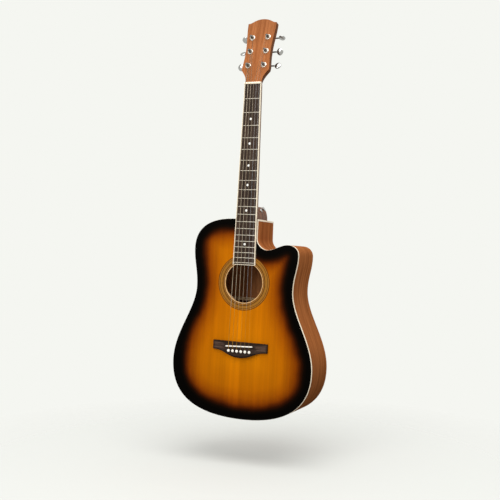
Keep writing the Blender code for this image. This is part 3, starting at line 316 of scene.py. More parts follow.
# Finishes: colours go from 0 to 255, cells of noise are sizes in mm along x, y and z
GLOSS = 0.5  # specular level where a finish names none
NOISE_RANGE = (0.3, 0.7)  # where most values of a noise lie
PORE_GROUND = 1.06  # brightness between pores
PORE_ROUGHER = 0.08
GROUND_SMOOTHER = 0.04
POLISH_VARIES = 0.05
FINE_CELLS = 6  # fine cells along a cell of plain stuff
PORE_DEEP = 0.04 * MM
GRAIN_DEEP = 0.01 * MM
PLASTIC_DEEP = 0.02 * MM
METAL_DEEP = 0.004 * MM
# Painted shade: the sides darken towards the tail, from the first z to the second, down to the tone.
SIDES_PAINTED_SHADE = (-620 * MM, -780 * MM, 0.36)
# The headstock's face darkens towards its crest, from the first z to the second, down to the tone.
HEAD_CREST_DARKENING = (90 * MM, 175 * MM, 0.80)
LACQUER = 0.015  # specular level of the burst
INLAID_GLOSS = 0.06  # specular level of the bridge and the rosette
BURST_REACH = 150 * MM
BURST_LOW = (-600 * MM, -700 * MM)  # from here to here along z, painted shade deepens on the lower bout and the dark edge widens
BURST_LOW_PAINTED_SHADE = 0.84
BURST_LEAN = 9 * MM  # how much wider the dark edge is on the lower bout's bass side
BURST_UNEVEN = 2 * MM
BURST_CELLS = (50, 50, 50)
BURST_ROUGHNESS = (0.30, 0.24)
BURST = [(13, (3, 2, 1)), (20, (14, 5, 1)), (26, (44, 14, 1)), (32, (83, 32, 2)), (40, (124, 56, 2)),
         (53, (154, 78, 2)), (75, (178, 98, 2)), (145, (198, 115, 3))]  # mm from the edge
GRAIN_CELLS = (1.1, 500, 300)
GRAIN_TONES = (0.94, 1.05)
STREAK_CELLS = (12, 500, 450)
STREAK_TONES = (0.87, 1.10)
SEAM_BAND = (-42 * MM, -18 * MM)  # the bass half of the top is paler next to the seam
SEAM_PALE = 0.13
BRIDGE_EDGE_PAINTED_SHADE = (0.15, 6 * MM)  # painted shade: tone at the bridge's edge, and how far in it reaches
# Painted shade on the bridge's raised middle, against the wings' painted highlight.
BRIDGE_MIDDLE_PAINTED_SHADE = 0.4
BRIDGE_TINTS = ((56, 40, 31), (100, 78, 67))
BRIDGE_STREAK_CELLS = (60, 4, 3)
BRIDGE_PORE_CELLS = (10, 1, 0.4)
BRIDGE_PORES = (0.6, PORE_GROUND)
BRIDGE_ROUGHNESS = (0.44, 0.32)
ROSETTE_RINGS = [(0.0, (50, 28, 8)), (0.06, (58, 33, 9)), (0.10, (158, 104, 36)), (0.20, (152, 97, 32)),
                 (0.23, (54, 32, 8)), (0.30, (63, 38, 9)), (0.34, (144, 96, 32)), (0.66, (150, 100, 33)),
                 (0.70, (80, 50, 13)), (0.75, (86, 53, 14)), (0.79, (162, 105, 34)), (0.88, (156, 99, 28)),
                 (0.92, (76, 43, 8)), (1.0, (70, 40, 8))]
ROSETTE_CELLS = (1.5, 10, 6)
ROSETTE_TONES = (0.78, 1.15)
ROSETTE_ROUGHNESS = (0.36, 0.28)
WRAP_PITCH = 0.3 * MM
WRAP_SCALE = 0.16  # of the wave texture
WRAP_DEEP = 0.02 * MM
# Painted shade on the strings past the nut, which dims their glints.
PAINTED_SHADE_PAST_NUT = 0.4
TOP_PAINTED_REFLECTION = (0.90, 0.55, 0.10)  # painted reflection of the amber top on the strings near the bridge, in red, green and blue

# Stage
PALE = (245, 246, 241)
SKY_WAY = (-0.3, -0.55, 0.78)
SKY_LEVELS = (0.22, 0.85)  # away from SKY_WAY, and towards it
FLOOR_LEVEL = -0.93
FLOOR_RADIUS = 0.95
FLOOR_SIDES = 96
FLOOR_TINT = (214, 215, 210)
FLOOR_ROUGHNESS = 0.9
FLOOR_ALPHA = 0.82
FLOOR_FADE = 0.25  # share of the radius where the floor starts to fade
MIDDLE = (0, 0, -0.45)
KEY = (-0.9, -3.1, 0.7)
KEY_WIDE = 1.8
KEY_POWER = 32
OVERHEAD = (0.66, -1.4, 2.4)
OVERHEAD_WIDE = 3.6
OVERHEAD_POWER = 98

# Derived places
SADDLE_V = -SCALE_LENGTH - (BASS_COMPENSATION + TREBLE_COMPENSATION) / 2
SADDLE_SLANT = atan2(BASS_COMPENSATION - TREBLE_COMPENSATION, SADDLE_SPREAD)
SADDLE_TOP = GAP + BRIDGE_THICK + SADDLE_PROUD
PIN_V = SADDLE_V - PIN_SETBACK
HEAD_FOOT = NUT_LONG + GAP + HEAD_STEP * tan(HEAD_ANGLE)
HEAD_SHOULDER = FIRST_POST - SHOULDER_BEFORE_POST
HEAD_WAIST = FIRST_POST + POST_PITCH * (POSTS_PER_SIDE - 1) / 2
HEAD_CORNER = FIRST_POST + POST_PITCH * (POSTS_PER_SIDE - 1) + CORNER_PAST_POST
BUTTON_START = max(HEAD_TOP_WIDTH, HEAD_SHOULDER_WIDTH) / 2 + BUTTON_CLEAR
HEAD = Matrix.Translation((0, HEAD_FOOT, HEAD_STEP)) @ Matrix.Rotation(-HEAD_ANGLE, 4, "X")
ROSETTE_INNER = HOLE_RADIUS + HOLE_RING_WIDE


# Mesh helpers

def between(low, high, share):
    return low + (high - low) * share


def spaced(start, end, steps):
    """Values from start to end, both included."""
    return [start + (end - start) * i / steps for i in range(steps + 1)]


def around(steps):
    """Angles of a full turn."""
    return [2 * pi * i / steps for i in range(steps)]


def made_mesh(points, faces):
    """Mesh with doubled points welded and its faces turned outwards."""
    mesh = bpy.data.meshes.new("piece")
    mesh.from_pydata(points, [], faces)
    work = bmesh.new()
    work.from_mesh(mesh)
    bmesh.ops.remove_doubles(work, verts=work.verts, dist=WELD)
    bmesh.ops.recalc_face_normals(work, faces=work.faces)
    work.to_mesh(mesh)
    work.free()
    return mesh


def new_mesh(work):
    mesh = bpy.data.meshes.new("piece")
    work.to_mesh(mesh)
    work.free()
    return mesh


def loft(rings, closed=False):
    """Mesh through rings of equally many points, capped at both ends, or closed on itself."""
    count = len(rings[0])
    points = [tuple(point) for ring in rings for point in ring]
    rows = range(len(rings))
    pairs = list(zip(rows, rows[1:]))
    faces = []
    if closed:
        pairs.append((rows[-1], 0))
    else:
        faces += [tuple(range(count)), tuple(range(len(points) - count, len(points)))]
    for low, high in pairs:
        for i in range(count):
            j = (i + 1) % count
            faces.append((low * count + i, low * count + j, high * count + j, high * count + i))
    return made_mesh(points, faces)


def circle(z, radius, steps=TURN_STEPS):
    """Ring of points about z."""
    return [(radius * cos(t), radius * sin(t), z) for t in around(steps)]


def turned(profile, steps=TURN_STEPS):
    """Solid of revolution about z through (radius, z) points."""
    return loft([circle(z, radius, steps) for radius, z in profile])


def rim(loop, profile):
    """Band along an outline. Its profile is a closed row of (inset, height), heights may vary over (u, v)."""
    rings = []
    for distance, height in profile:
        ring = inset(loop, distance)
        rings.append([(u, v, height(u, v) if callable(height) else height) for u, v in ring])
    return loft(rings, closed=True)


def tube(path, radii):
    """Round tube along points, with a radius at each."""
    rings = []
    side = None
    for i, point in enumerate(path):
        before = path[max(i - 1, 0)]
        after = path[min(i + 1, len(path) - 1)]
        way = ((point - before).normalized() + (after - point).normalized()).normalized()
        side = way.orthogonal() if side is None else side
        side = (side - way * side.dot(way)).normalized()
        other = way.cross(side)
        rings.append([point + radii[i] * (side * cos(t) + other * sin(t)) for t in around(TUBE_SIDES)])
    return loft(rings)


def within(points, loops):
    """Whether points lie inside an outline and outside its holes, by counting the edges to their right."""
    odd = np.zeros(len(points), bool)
    for loop in loops:
        for (u0, v0), (u1, v1) in zip(loop, loop[1:] + loop[:1]):
            if v0 != v1:
                crossed = (v0 > points[:, 1]) != (v1 > points[:, 1])
                odd ^= crossed & (points[:, 0] < u0 + (points[:, 1] - v0) * (u1 - u0) / (v1 - v0))
    return odd


def edge_distance(points, loops):
    """Distance from each point to the nearest edge of the outlines."""
    nearest = np.full(len(points), np.inf)
    for loop in loops:
        for start, end in zip(loop, loop[1:] + loop[:1]):
            run = np.subtract(end, start)
            away = points - start
            along = np.clip(away @ run / (run @ run), 0, 1)
            nearest = np.minimum(nearest, np.hypot(*(away - along[:, None] * run).T))
    return nearest


def filled(loops, rows, spacing):
    """Points and triangles that fill an outline with holes: along rows of points, and on a grid between."""
    points = [Vector(point) for row in rows for point in row]
    edges = []
    start = 0
    for row in rows:
        edges += [(start + i, start + (i + 1) % len(row)) for i in range(len(row))]
        start += len(row)
    low = np.min(loops[0], axis=0)
    high = np.max(loops[0], axis=0)
    grid = np.array([(u, v) for u in np.arange(low[0] + spacing / 2, high[0], spacing)
                     for v in np.arange(low[1] + spacing / 2, high[1], spacing)])
    grid = grid[within(grid, loops)]
    grid = grid[edge_distance(grid, rows) > spacing / 2]
    points += [Vector(point) for point in grid]
    corners, _, triangles, *_ = delaunay_2d_cdt(points, edges, [], 0, WELD)
    corners = np.array([tuple(corner) for corner in corners])
    triangles = np.array(triangles)
    return corners, triangles[within(corners[triangles].mean(axis=1), loops)]


def plate(loops, spacing, top, bottom, soft_top=0.0, soft_bottom=0.0):
    """Solid between two faces over an outline with holes, with rounded edges.

    The outline runs counter-clockwise and its holes clockwise. Top and bottom are heights, or give one
    over (u, v).
    """
    soft = max(soft_top, soft_bottom)
    rows = list(loops)
    if soft:
        rows += [inset(loop, soft * share) for share in ROUNDING_ROWS for loop in loops]
    points, triangles = filled(loops, rows, spacing)
    far = edge_distance(points, loops)
    corners = []
    for face, radius, sign in ((top, soft_top, -1), (bottom, soft_bottom, 1)):
        level = face(points[:, 0], points[:, 1]) if callable(face) else np.full(len(points), face)
        short = np.clip(radius - far, 0, None)
        level = level + sign * (radius - np.sqrt(radius ** 2 - short ** 2))
        corners += np.column_stack([points, level]).tolist()
    count = len(points)
    faces = [tuple(t) for t in triangles.tolist()]
    sides = {(t[i], t[i - 1]) for t in faces for i in range(3)}
    faces += [tuple(count + i for i in reversed(t)) for t in faces]
    faces += [(a, b, b + count, a + count) for a, b in sorted(sides) if (b, a) not in sides]
    return made_mesh(corners, faces)


def bar(low, high, soft):
    """Box between two corners, with rounded edges."""
    low = Vector(low)
    high = Vector(high)
    work = bmesh.new()
    bmesh.ops.create_cube(work, size=1)
    bmesh.ops.scale(work, vec=high - low, verts=work.verts)
    bmesh.ops.translate(work, vec=(low + high) / 2, verts=work.verts)
    edges = work.edges[:]
    bmesh.ops.bevel(work, geom=edges, offset=soft, segments=BEVEL_SEGMENTS, profile=0.5, affect="EDGES")
    return new_mesh(work)


def together(meshes):
    """One mesh that holds several separate bodies."""
    work = bmesh.new()
    for mesh in meshes:
        work.from_mesh(mesh)
    return new_mesh(work)


def moved(mesh, place):
    mesh.transform(place)
    if place.determinant() < 0:
        mesh.flip_normals()
    return mesh


def placed(name, data, place=Matrix()):
    """Object in the scene."""
    made = bpy.data.objects.new(name, data)
    made.matrix_world = place
    bpy.context.scene.collection.objects.link(made)
    return made


def add(name, mesh, finishes, slot, replaces=None, body="guitar", second=None):
    """Puts a piece on its body. Faces for which second is true take the second finish."""
    for finish in finishes:
        mesh.materials.append(finish)
    if second:
        for face in mesh.polygons:
            face.material_index = int(second(face.normal))
    mesh.transform(UPRIGHT)
    mesh.shade_smooth()
    mesh.set_sharp_from_angle(angle=CREASE)
    mesh.name = name
    piece = placed(name, mesh)
    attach(piece, body)
    if replaces:
        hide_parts(replaces)


def refine(node, mesh, finishes, slot, **options):
    """Puts a finer piece in a node's place, named after it with fine at the end or before its number."""
    stem, _, number = node.rpartition("_")
    name = stem + "_fine_" + number if number.isdigit() else node + "_fine"
    add(name, mesh, finishes, slot, node, **options)


# Outlines

def bezier(start, out, back, end, steps):
    """Points of a cubic curve from start up to, but not at, end."""
    points = []
    for i in range(steps):
        t = i / steps
        weights = ((1 - t) ** 3, 3 * t * (1 - t) ** 2, 3 * t * t * (1 - t), t ** 3)
        knots = (start, out, back, end)
        points.append(tuple(sum(w * knot[k] for w, knot in zip(weights, knots)) for k in (0, 1)))
    return points


def turn_curve(start, end, fullness, axes, steps=CURVE_STEPS):
    """Curve that leaves start along one axis and reaches end along the other, or the same, axis."""
    span = (end[0] - start[0], end[1] - start[1])
    unit = {"u": (1, 0), "v": (0, 1)}
    handles = []
    for point, letter, share, sign in ((start, axes[0], fullness[0], 1), (end, axes[1], fullness[1], -1)):
        handles.append(tuple(point[k] + sign * share * span[k] * unit[letter][k] for k in (0, 1)))
    return bezier(start, handles[0], handles[1], end, steps)


def board_width(v):
    return between(NUT_WIDTH, BOARD_END_WIDTH, -v / BOARD_LONG)


CUTAWAY_U = board_width(JOINT_V) / 2 + CUTAWAY_CLEAR


def body_outline():
    """Outline of the body on the soundboard plane, counter-clockwise from the tail."""
    tail = (0, TAIL_V)
    lower = (LOWER_BOUT / 2, JOINT_V - LOWER_BOUT_DROP)
    waist = (WAIST / 2, JOINT_V - WAIST_DROP)
    upper = (UPPER_BOUT / 2, JOINT_V - UPPER_BOUT_DROP)
    shoulder = (SHOULDER_FLAT, JOINT_V)
    half = turn_curve(tail, lower, TAIL_FULLNESS, "uv")
    half += turn_curve(lower, waist, LOWER_FULLNESS, "vv")
    bass = half + turn_curve(waist, upper, UPPER_FULLNESS, "vv")
    bass += turn_curve(upper, shoulder, SHOULDER_FULLNESS, "vu")
    bass.append(shoulder)

    horn_side = (UPPER_BOUT / 2, JOINT_V - HORN_SIDE_DROP)
    horn = (UPPER_BOUT / 2 - HORN_INSET, JOINT_V - HORN_DROP)
    scoop = (CUTAWAY_U + SCOOP_WIDE, JOINT_V - SCOOP_DROP)
    foot = (CUTAWAY_U, JOINT_V - CUTAWAY_WALL)
    treble = half + turn_curve(waist, horn_side, UPPER_FULLNESS, "vv")
    treble += turn_curve(horn_side, horn, HORN_FULLNESS, "vu")
    treble += turn_curve(horn, scoop, SCOOP_FULLNESS, "uu")
    treble += turn_curve(scoop, foot, WALL_FULLNESS, "uv")
    treble += [foot, (CUTAWAY_U, JOINT_V)]
    return treble + [(-u, v) for u, v in reversed(bass[1:])]


def inset(loop, distance):
    """Outline moved to the left of its run by a distance, with square corners kept square."""
    points = []
    for i, (u, v) in enumerate(loop):
        before = Vector((u, v)) - Vector(loop[i - 1])
        after = Vector(loop[(i + 1) % len(loop)]) - Vector((u, v))
        before.normalize()
        after.normalize()
        inward = Vector((-before.y - after.y, before.x + after.x))
        inward *= 2 / inward.length_squared
        points.append((u + distance * inward.x, v + distance * inward.y))
    return points


def hole_circle(radius):
    """Circle about the sound hole's middle."""
    return [(radius * cos(t), HOLE_V + radius * sin(t)) for t in around(CIRCLE_STEPS)]


def backwards(loop):
    return list(reversed(loop))


OUTLINE = body_outline()


def back_face(u, v):
    return -between(DEPTH_AT_NECK, DEPTH_AT_TAIL, (JOINT_V - v) / BODY_LENGTH)


def back_inside(u, v):
    return back_face(u, v) + BACK_THICK


# Finishes

def colour(red, green, blue):
    """Linear colour from the usual 0 to 255 values."""
    parts = [value / 255 for value in (red, green, blue)]
    return tuple(p / 12.92 if p <= 0.04045 else ((p + 0.055) / 1.055) ** 2.4 for p in parts) + (1,)


def cube(side):
    return (side, side, side)


class Nodes:
    """A node tree in the making. A node's input is a plain value or another node's output."""

    def __init__(self, tree):
        self.tree = tree

    def node(self, kind, inputs, **settings):
        made = self.tree.nodes.new("ShaderNode" + kind)
        for name, value in settings.items():
            setattr(made, name, value)
        for socket, value in inputs.items():
            if isinstance(value, bpy.types.NodeSocket):
                self.tree.links.new(value, made.inputs[socket])
            else:
                made.inputs[socket].default_value = value
        return made

    def math(self, operation, *values, **settings):
        return self.node("Math", dict(enumerate(values)), operation=operation, **settings).outputs[0]

    def times(self, amount, *factors):
        for factor in factors:
            amount = self.math("MULTIPLY", amount, factor)
        return amount

    def vector_math(self, operation, *values):
        return self.node("VectorMath", dict(enumerate(values)), operation=operation).outputs

    def spread(self, amount, low, high, start=NOISE_RANGE[0], end=NOISE_RANGE[1]):
        """An amount brought from one range to another."""
        inputs = {"Value": amount, "From Min": start, "From Max": end, "To Min": low, "To Max": high}
        return self.node("MapRange", inputs).outputs["Result"]


class Finish(Nodes):
    """A node material in the making. Values that are the same all over are set on the shader itself."""

    def __init__(self, name, gloss=GLOSS, **values):
        self.material = bpy.data.materials.new(name)
        self.material.use_nodes = True
        super().__init__(self.material.node_tree)
        self.shader = self.tree.nodes["Principled BSDF"]
        self.shader.inputs["Specular IOR Level"].default_value = gloss
        for socket, value in values.items():
            self.shader.inputs[socket.replace("_", " ")].default_value = value

    def spot(self):
        return self.node("TexCoord", {}).outputs["Object"]

    def axes(self):
        return self.node("SeparateXYZ", {"Vector": self.spot()}).outputs

    def mirrored_spot(self):
        """Object coordinates that are mirrored at the middle plane, for book-matched wood."""
        parts = self.axes()
        across = self.math("ABSOLUTE", parts["X"])
        return self.node("CombineXYZ", {"X": across, "Y": parts["Y"], "Z": parts["Z"]}).outputs["Vector"]

    def edge(self):
        """Distance from the piece's outline, where mark_edge has noted it."""
        return self.node("Attribute", {}, attribute_name="edge").outputs["Fac"]

    def noise(self, cell, detail, spot=None):
        """Noise in cells of a size in mm, with finer and finer detail on it."""
        scale = [1 / (side * MM) for side in cell]
        spread = self.node("Mapping", {"Vector": spot or self.spot(), "Scale": scale}).outputs["Vector"]
        return self.node("TexNoise", {"Vector": spread, "Scale": 1.0, "Detail": detail}).outputs["Fac"]

    def ramp(self, amount, stops):
        """Colour that follows an amount, from (amount, colour) stops."""
        made = self.node("ValToRGB", {"Fac": amount})
        elements = made.color_ramp.elements
        while len(elements) < len(stops):
            elements.new(1)
        for element, (place, tint) in zip(elements, stops):
            element.position = place
            element.color = colour(*tint)
        return made.outputs["Color"]

    def blend(self, noise, dark, light):
        return self.ramp(noise, list(zip(NOISE_RANGE, (dark, light))))

    def join(self, socket, value):
        self.tree.links.new(value, self.shader.inputs[socket])

    def shade(self, base, shade):
        """Sets the base colour, times a shade that is one amount or one for each channel."""
        inputs = {0: 1.0, 6: base, 7: shade}
        self.join("Base Color", self.node("Mix", inputs, data_type="RGBA", blend_type="MULTIPLY").outputs[2])

    def done(self, polish, roughness, relief, depth):
        """Sets how rough it is along one noise, and how deep another is cut, and gives the material."""
        self.join("Roughness", self.spread(polish, *roughness))
        self.join("Normal", self.node("Bump", {"Height": relief, "Distance": depth}).outputs["Normal"])
        return self.material


def wood(name, dark, light, streak, pore, roughness, pore_dark=0.7, book=False, gloss=0.1, z_darkening=None):
    """Streaked wood with fine pores, optionally darker along z: where the darkening starts, where it is full,
    and its tone.
    """
    finish = Finish(name, gloss)
    spot = finish.mirrored_spot() if book else finish.spot()
    streaks = finish.noise(streak, 4, spot)
    pores = finish.noise(pore, 3, spot)
    lines = finish.spread(pores, pore_dark, PORE_GROUND)
    if z_darkening:
        start, full, tone = z_darkening
        lines = finish.times(lines, finish.spread(finish.axes()["Z"], 1, tone, start, full))
    finish.shade(finish.blend(streaks, dark, light), lines)
    return finish.done(pores, (roughness + PORE_ROUGHER, roughness - GROUND_SMOOTHER), pores, PORE_DEEP)


def burst_top():
    """Spruce shaded from amber in the middle to black at the edge, with painted shade on the lower bout."""
    finish = Finish("burst_spruce", LACQUER)
    cloud = finish.noise(BURST_CELLS, 2)
    place = finish.axes()
    low = finish.spread(place["Z"], 0, 1, *BURST_LOW)
    lean = finish.times(low, finish.spread(place["X"], -BURST_LEAN, 0, -LOWER_BOUT / 2, 0))
    uneven = finish.math("ADD", lean, finish.spread(cloud, -BURST_UNEVEN, BURST_UNEVEN))
    share = finish.math("DIVIDE", finish.math("ADD", finish.edge(), uneven), BURST_REACH)
    base = finish.ramp(share, [(far * MM / BURST_REACH, tint) for far, tint in BURST])
    grain = finish.noise(GRAIN_CELLS, 2)
    streak = finish.noise(STREAK_CELLS, 3)
    bass = finish.math("LESS_THAN", place["X"], 0)
    near_seam = finish.times(bass, finish.spread(place["X"], 0, SEAM_PALE, *SEAM_BAND))
    # The lower bout's darkening is painted shade, for light that falls off towards the tail.
    lines = finish.times(finish.spread(grain, *GRAIN_TONES), finish.spread(streak, *STREAK_TONES),
                         finish.spread(low, 1, BURST_LOW_PAINTED_SHADE, 0, 1), finish.math("ADD", 1, near_seam))
    finish.shade(base, lines)
    return finish.done(streak, BURST_ROUGHNESS, grain, GRAIN_DEEP)


def plain(name, dark, light, cell, roughness, gloss=GLOSS, groove=PLASTIC_DEEP, **values):
    """Moulded or polished stuff whose colour and polish vary softly."""
    finish = Finish(name, gloss, **values)
    cloud = finish.noise(cell, 3)
    finish.join("Base Color", finish.blend(cloud, dark, light))
    fine = finish.noise([side / FINE_CELLS for side in cell], 2)
    return finish.done(cloud, (roughness + POLISH_VARIES, roughness - POLISH_VARIES), fine, groove)


def metal(name, dark, light, cell, roughness):
    return plain(name, dark, light, cell, roughness, groove=METAL_DEEP, Metallic=1.0)


def bridge_rosewood():
    """Rosewood with painted shade along the edges and on the raised middle, so the open wings show as a
    painted highlight.
    """
    finish = Finish("rosewood_bridge", INLAID_GLOSS)
    tone, reach = BRIDGE_EDGE_PAINTED_SHADE
    # Painted shade at the bridge's edges, and next on its raised middle.
    inner = finish.spread(finish.edge(), tone, 1, 0, reach)
    heights = (-GAP - BRIDGE_THICK, -GAP - BRIDGE_TIP_THICK)
    wing = finish.spread(finish.axes()["Y"], BRIDGE_MIDDLE_PAINTED_SHADE, 1, *heights)
    streaks = finish.noise(BRIDGE_STREAK_CELLS, 4)
    pores = finish.noise(BRIDGE_PORE_CELLS, 3)
    lines = finish.times(inner, wing, finish.spread(pores, *BRIDGE_PORES))
    finish.shade(finish.blend(streaks, *BRIDGE_TINTS), lines)
    return finish.done(pores, BRIDGE_ROUGHNESS, pores, PORE_DEEP)


def ringed_inlay():
    """Rosette: rings of dark and pale lines about the sound hole, with short grain round them."""
    finish = Finish("rosette_inlay", INLAID_GLOSS)
    middle = finish.vector_math("ADD", finish.spot(), (0, 0, -HOLE_V))[0]
    flat = finish.vector_math("MULTIPLY", middle, (1, 0, 1))[0]
    out = finish.vector_math("LENGTH", flat)["Value"]
    share = finish.math("DIVIDE", finish.math("SUBTRACT", out, ROSETTE_INNER), ROSETTE_OUTER - ROSETTE_INNER)
    grain = finish.noise(ROSETTE_CELLS, 3)
    finish.shade(finish.ramp(share, ROSETTE_RINGS), finish.spread(grain, *ROSETTE_TONES))
    return finish.done(grain, ROSETTE_ROUGHNESS, grain, GRAIN_DEEP)


def string_painted_light(finish):
    """Painted light on a string: shade past the nut, and a golden reflection of the top near the bridge."""
    height = finish.axes()["Z"]
    past_nut = finish.spread(height, 1, PAINTED_SHADE_PAST_NUT, 0, NUT_LONG)
    parts = {}
    for axis, tone in zip("XYZ", TOP_PAINTED_REFLECTION):
        near_bridge = finish.spread(height, tone, 1, HOLE_V - ROSETTE_OUTER, HOLE_V - HOLE_RADIUS)
        parts[axis] = finish.times(past_nut, near_bridge)
    return finish.node("CombineXYZ", parts).outputs["Vector"]


def string_metal(name, dark, light, cell, detail, roughness, wrapped=False):
    """Metal of a string with painted light along its run, bare or with fine turns of wrap."""
    finish = Finish(name, Metallic=1.0)
    cloud = finish.noise(cell, detail)
    finish.shade(finish.blend(cloud, dark, light), string_painted_light(finish))
    if not wrapped:
        return finish.done(cloud, roughness, cloud, METAL_DEEP)
    inputs = {"Vector": finish.spot(), "Scale": (0, 0, 1 / WRAP_PITCH)}
    along = finish.node("Mapping", inputs).outputs["Vector"]
    wrap = finish.node("TexWave", {"Vector": along, "Scale": WRAP_SCALE}, bands_direction="Z").outputs["Fac"]
    return finish.done(cloud, roughness, wrap, WRAP_DEEP)


TOP = burst_top()
BLACK = plain("burst_edge", (2, 1, 1), (7, 4, 2), cube(20), 0.28, LACQUER)
CREAM = plain("cream_plastic", (248, 230, 200), (255, 244, 220), (30, 10, 50), 0.35, 0.3)
BONE = plain("bone_white", (226, 220, 206), (242, 238, 228), cube(4), 0.32, 0.35)
PEARL = plain("pearl_dot", (222, 222, 214), (246, 244, 238), cube(1.5), 0.25, 0.4)
RING = plain("hole_ring", (200, 152, 96), (222, 178, 122), cube(6), 0.35, 0.1)
# The sides' darkening towards the tail is painted shade.
SIDES = wood("mahogany_sides", (138, 79, 41), (186, 115, 65), (160, 9, 160), (30, 0.7, 30), 0.26,
             pore_dark=0.8, gloss=0.0, z_darkening=SIDES_PAINTED_SHADE)
BACK = wood("mahogany_back", (122, 60, 22), (178, 100, 44), (10, 300, 350), (0.7, 30, 20), 0.26,
            book=True, gloss=0.06)
# Darker than the head veneer: the neck's own darker wood, and on the headstock's sides painted shade as well.
NECK_WOOD_AND_SHADE = wood("neck_wood", (92, 52, 28), (140, 86, 52), (5, 15, 160), (0.6, 2, 18), 0.30, gloss=0.03)
HEAD_FACE = wood("head_veneer", (148, 86, 46), (184, 116, 70), (6, 100, 160), (0.6, 20, 18), 0.30,
                 gloss=0.03, z_darkening=HEAD_CREST_DARKENING)
ROSEWOOD = wood("rosewood_board", (30, 21, 15), (82, 63, 50), (2.4, 4, 100), (0.4, 1, 10), 0.45,
                pore_dark=0.55)
BARE = wood("bare_wood", (180, 140, 98), (220, 184, 140), (6, 20, 20), (0.8, 4, 4), 0.7, gloss=0.2)
INSIDE = wood("bare_mahogany", (144, 84, 44), (188, 122, 70), (10, 300, 350), (0.7, 30, 20), 0.7, gloss=0.2)
BRIDGE_WOOD = bridge_rosewood()
INLAY = ringed_inlay()
CHROME = metal("chrome", (162, 161, 159), (178, 177, 175), cube(6), 0.13)
BUSH_METAL = metal("bushing_metal", (194, 188, 178), (218, 212, 202), cube(6), 0.2)
POST_METAL = metal("post_metal", (96, 92, 88), (140, 136, 132), cube(2), 0.24)
FRET_METAL = metal("fret_metal", (176, 168, 154), (204, 196, 182), (4, 2, 2), 0.34)
STEEL = string_metal("plain_steel", (160, 161, 164), (198, 199, 202), (2, 2, 20), 3, (0.5, 0.4))
BRONZE = string_metal("wound_bronze", (152, 136, 114), (200, 186, 164), (4, 4, 30), 2, (0.55, 0.45), True)


# Body

def faces_up(normal):
    return normal.z > UP_COSINE


def faces_away(normal):
    return normal.z < AWAY_COSINE


def mark_edge(mesh, loop):
    """Gives each point its distance from an outline, for the finish to read."""
    points = np.array([vert.co[:2] for vert in mesh.vertices])
    edge = mesh.attributes.new("edge", "FLOAT", "POINT")
    edge.data.foreach_set("value", edge_distance(points, [loop]).astype(np.float32))


def soundboard():
    loops = [inset(OUTLINE, BINDING_WIDE), backwards(hole_circle(ROSETTE_OUTER))]
    mesh = plate(loops, TOP_SPACING, 0, -TOP_THICK)
    mark_edge(mesh, OUTLINE)
    refine("soundboard", mesh, [TOP, BARE], "burst_spruce", second=faces_away)


def ring_about_hole(inner, outer, soft):
    """Flat ring about the sound hole, as deep as the soundboard."""
    wide = outer - inner
    profile = [(0, -TOP_THICK), (0, -soft), (soft, 0), (wide - soft, 0), (wide, -soft), (wide, -TOP_THICK)]
    return rim(hole_circle(outer), profile)


def rosette():
    refine("rosette", ring_about_hole(ROSETTE_INNER, ROSETTE_OUTER, ROSETTE_ROUND), [INLAY], "rosette_inlay")
    ring = ring_about_hole(HOLE_RADIUS, ROSETTE_INNER, HOLE_RING_ROUND)
    add("sound_hole_ring", ring, [RING], "rosette_inlay")


def top_binding():
    soft = BINDING_ROUND
    profile = [(0, -BINDING_TALL), (0, -soft), (soft * EASE, -soft * EASE), (soft, 0), (BINDING_WIDE, 0),
               (BINDING_WIDE, -BINDING_TALL)]
    refine("top_binding", rim(OUTLINE, profile), [CREAM, BLACK], "cream_plastic", second=faces_up)


def sides():
    profile = [(0, -BINDING_TALL), (SIDE_THICK, -BINDING_TALL), (SIDE_THICK, back_inside), (0, back_inside)]
    refine("sides", rim(OUTLINE, profile), [SIDES], "mahogany")
    low = (CUTAWAY_U - SIDE_THICK, JOINT_V - CORNER_STRIP, back_face(0, JOINT_V))
    high = (CUTAWAY_U + STRIP_PROUD, JOINT_V, -BINDING_TALL)
    add("cutaway_corner_strip", bar(low, high, STRIP_ROUND), [CREAM], "cream_plastic")


def back():
    mesh = plate([OUTLINE], BACK_SPACING, back_inside, back_face, soft_bottom=BACK_ROUND)
    refine("back", mesh, [BACK, INSIDE], "mahogany", second=faces_up)


# Bridge, saddle and pins

def string_place(k, spread):
    return spread * (k / (STRINGS - 1) - 0.5)


def string_number(k):
    """Number of a string in names, from treble to bass."""
    return str(STRINGS - k)


def slot_offset(k):
    """String's middle in front of its pin's axis, just clear of the pin's head."""
    return PIN_HEAD_RADIUS + GAP + STRING_DIAMETERS[k] / 2


def keyhole(k):
    """Hole for one bridge pin with its string slot, which runs towards the saddle."""
    u = string_place(k, PIN_SPREAD)
    radius = PIN_RADIUS + GAP
    half = STRING_DIAMETERS[k] / 2 + GAP
    open_angle = acos(half / radius)
    length = slot_offset(k) + half
    angles = spaced(pi - open_angle, 2 * pi + open_angle, KEYHOLE_STEPS)
    loop = [(u + radius * cos(a), PIN_V + radius * sin(a)) for a in angles]
    return loop + [(u + half, PIN_V + length), (u - half, PIN_V + length)]


def bridge_top(u, v):
    """Height of the bridge: a raised middle that runs down to thin wings in a hollow curve."""
    fall = np.clip((np.abs(u) - BRIDGE_MIDDLE) / BRIDGE_SCOOP, 0, 1)
    return GAP + between(BRIDGE_THICK, BRIDGE_TIP_THICK, 1 - (1 - fall) ** 2)


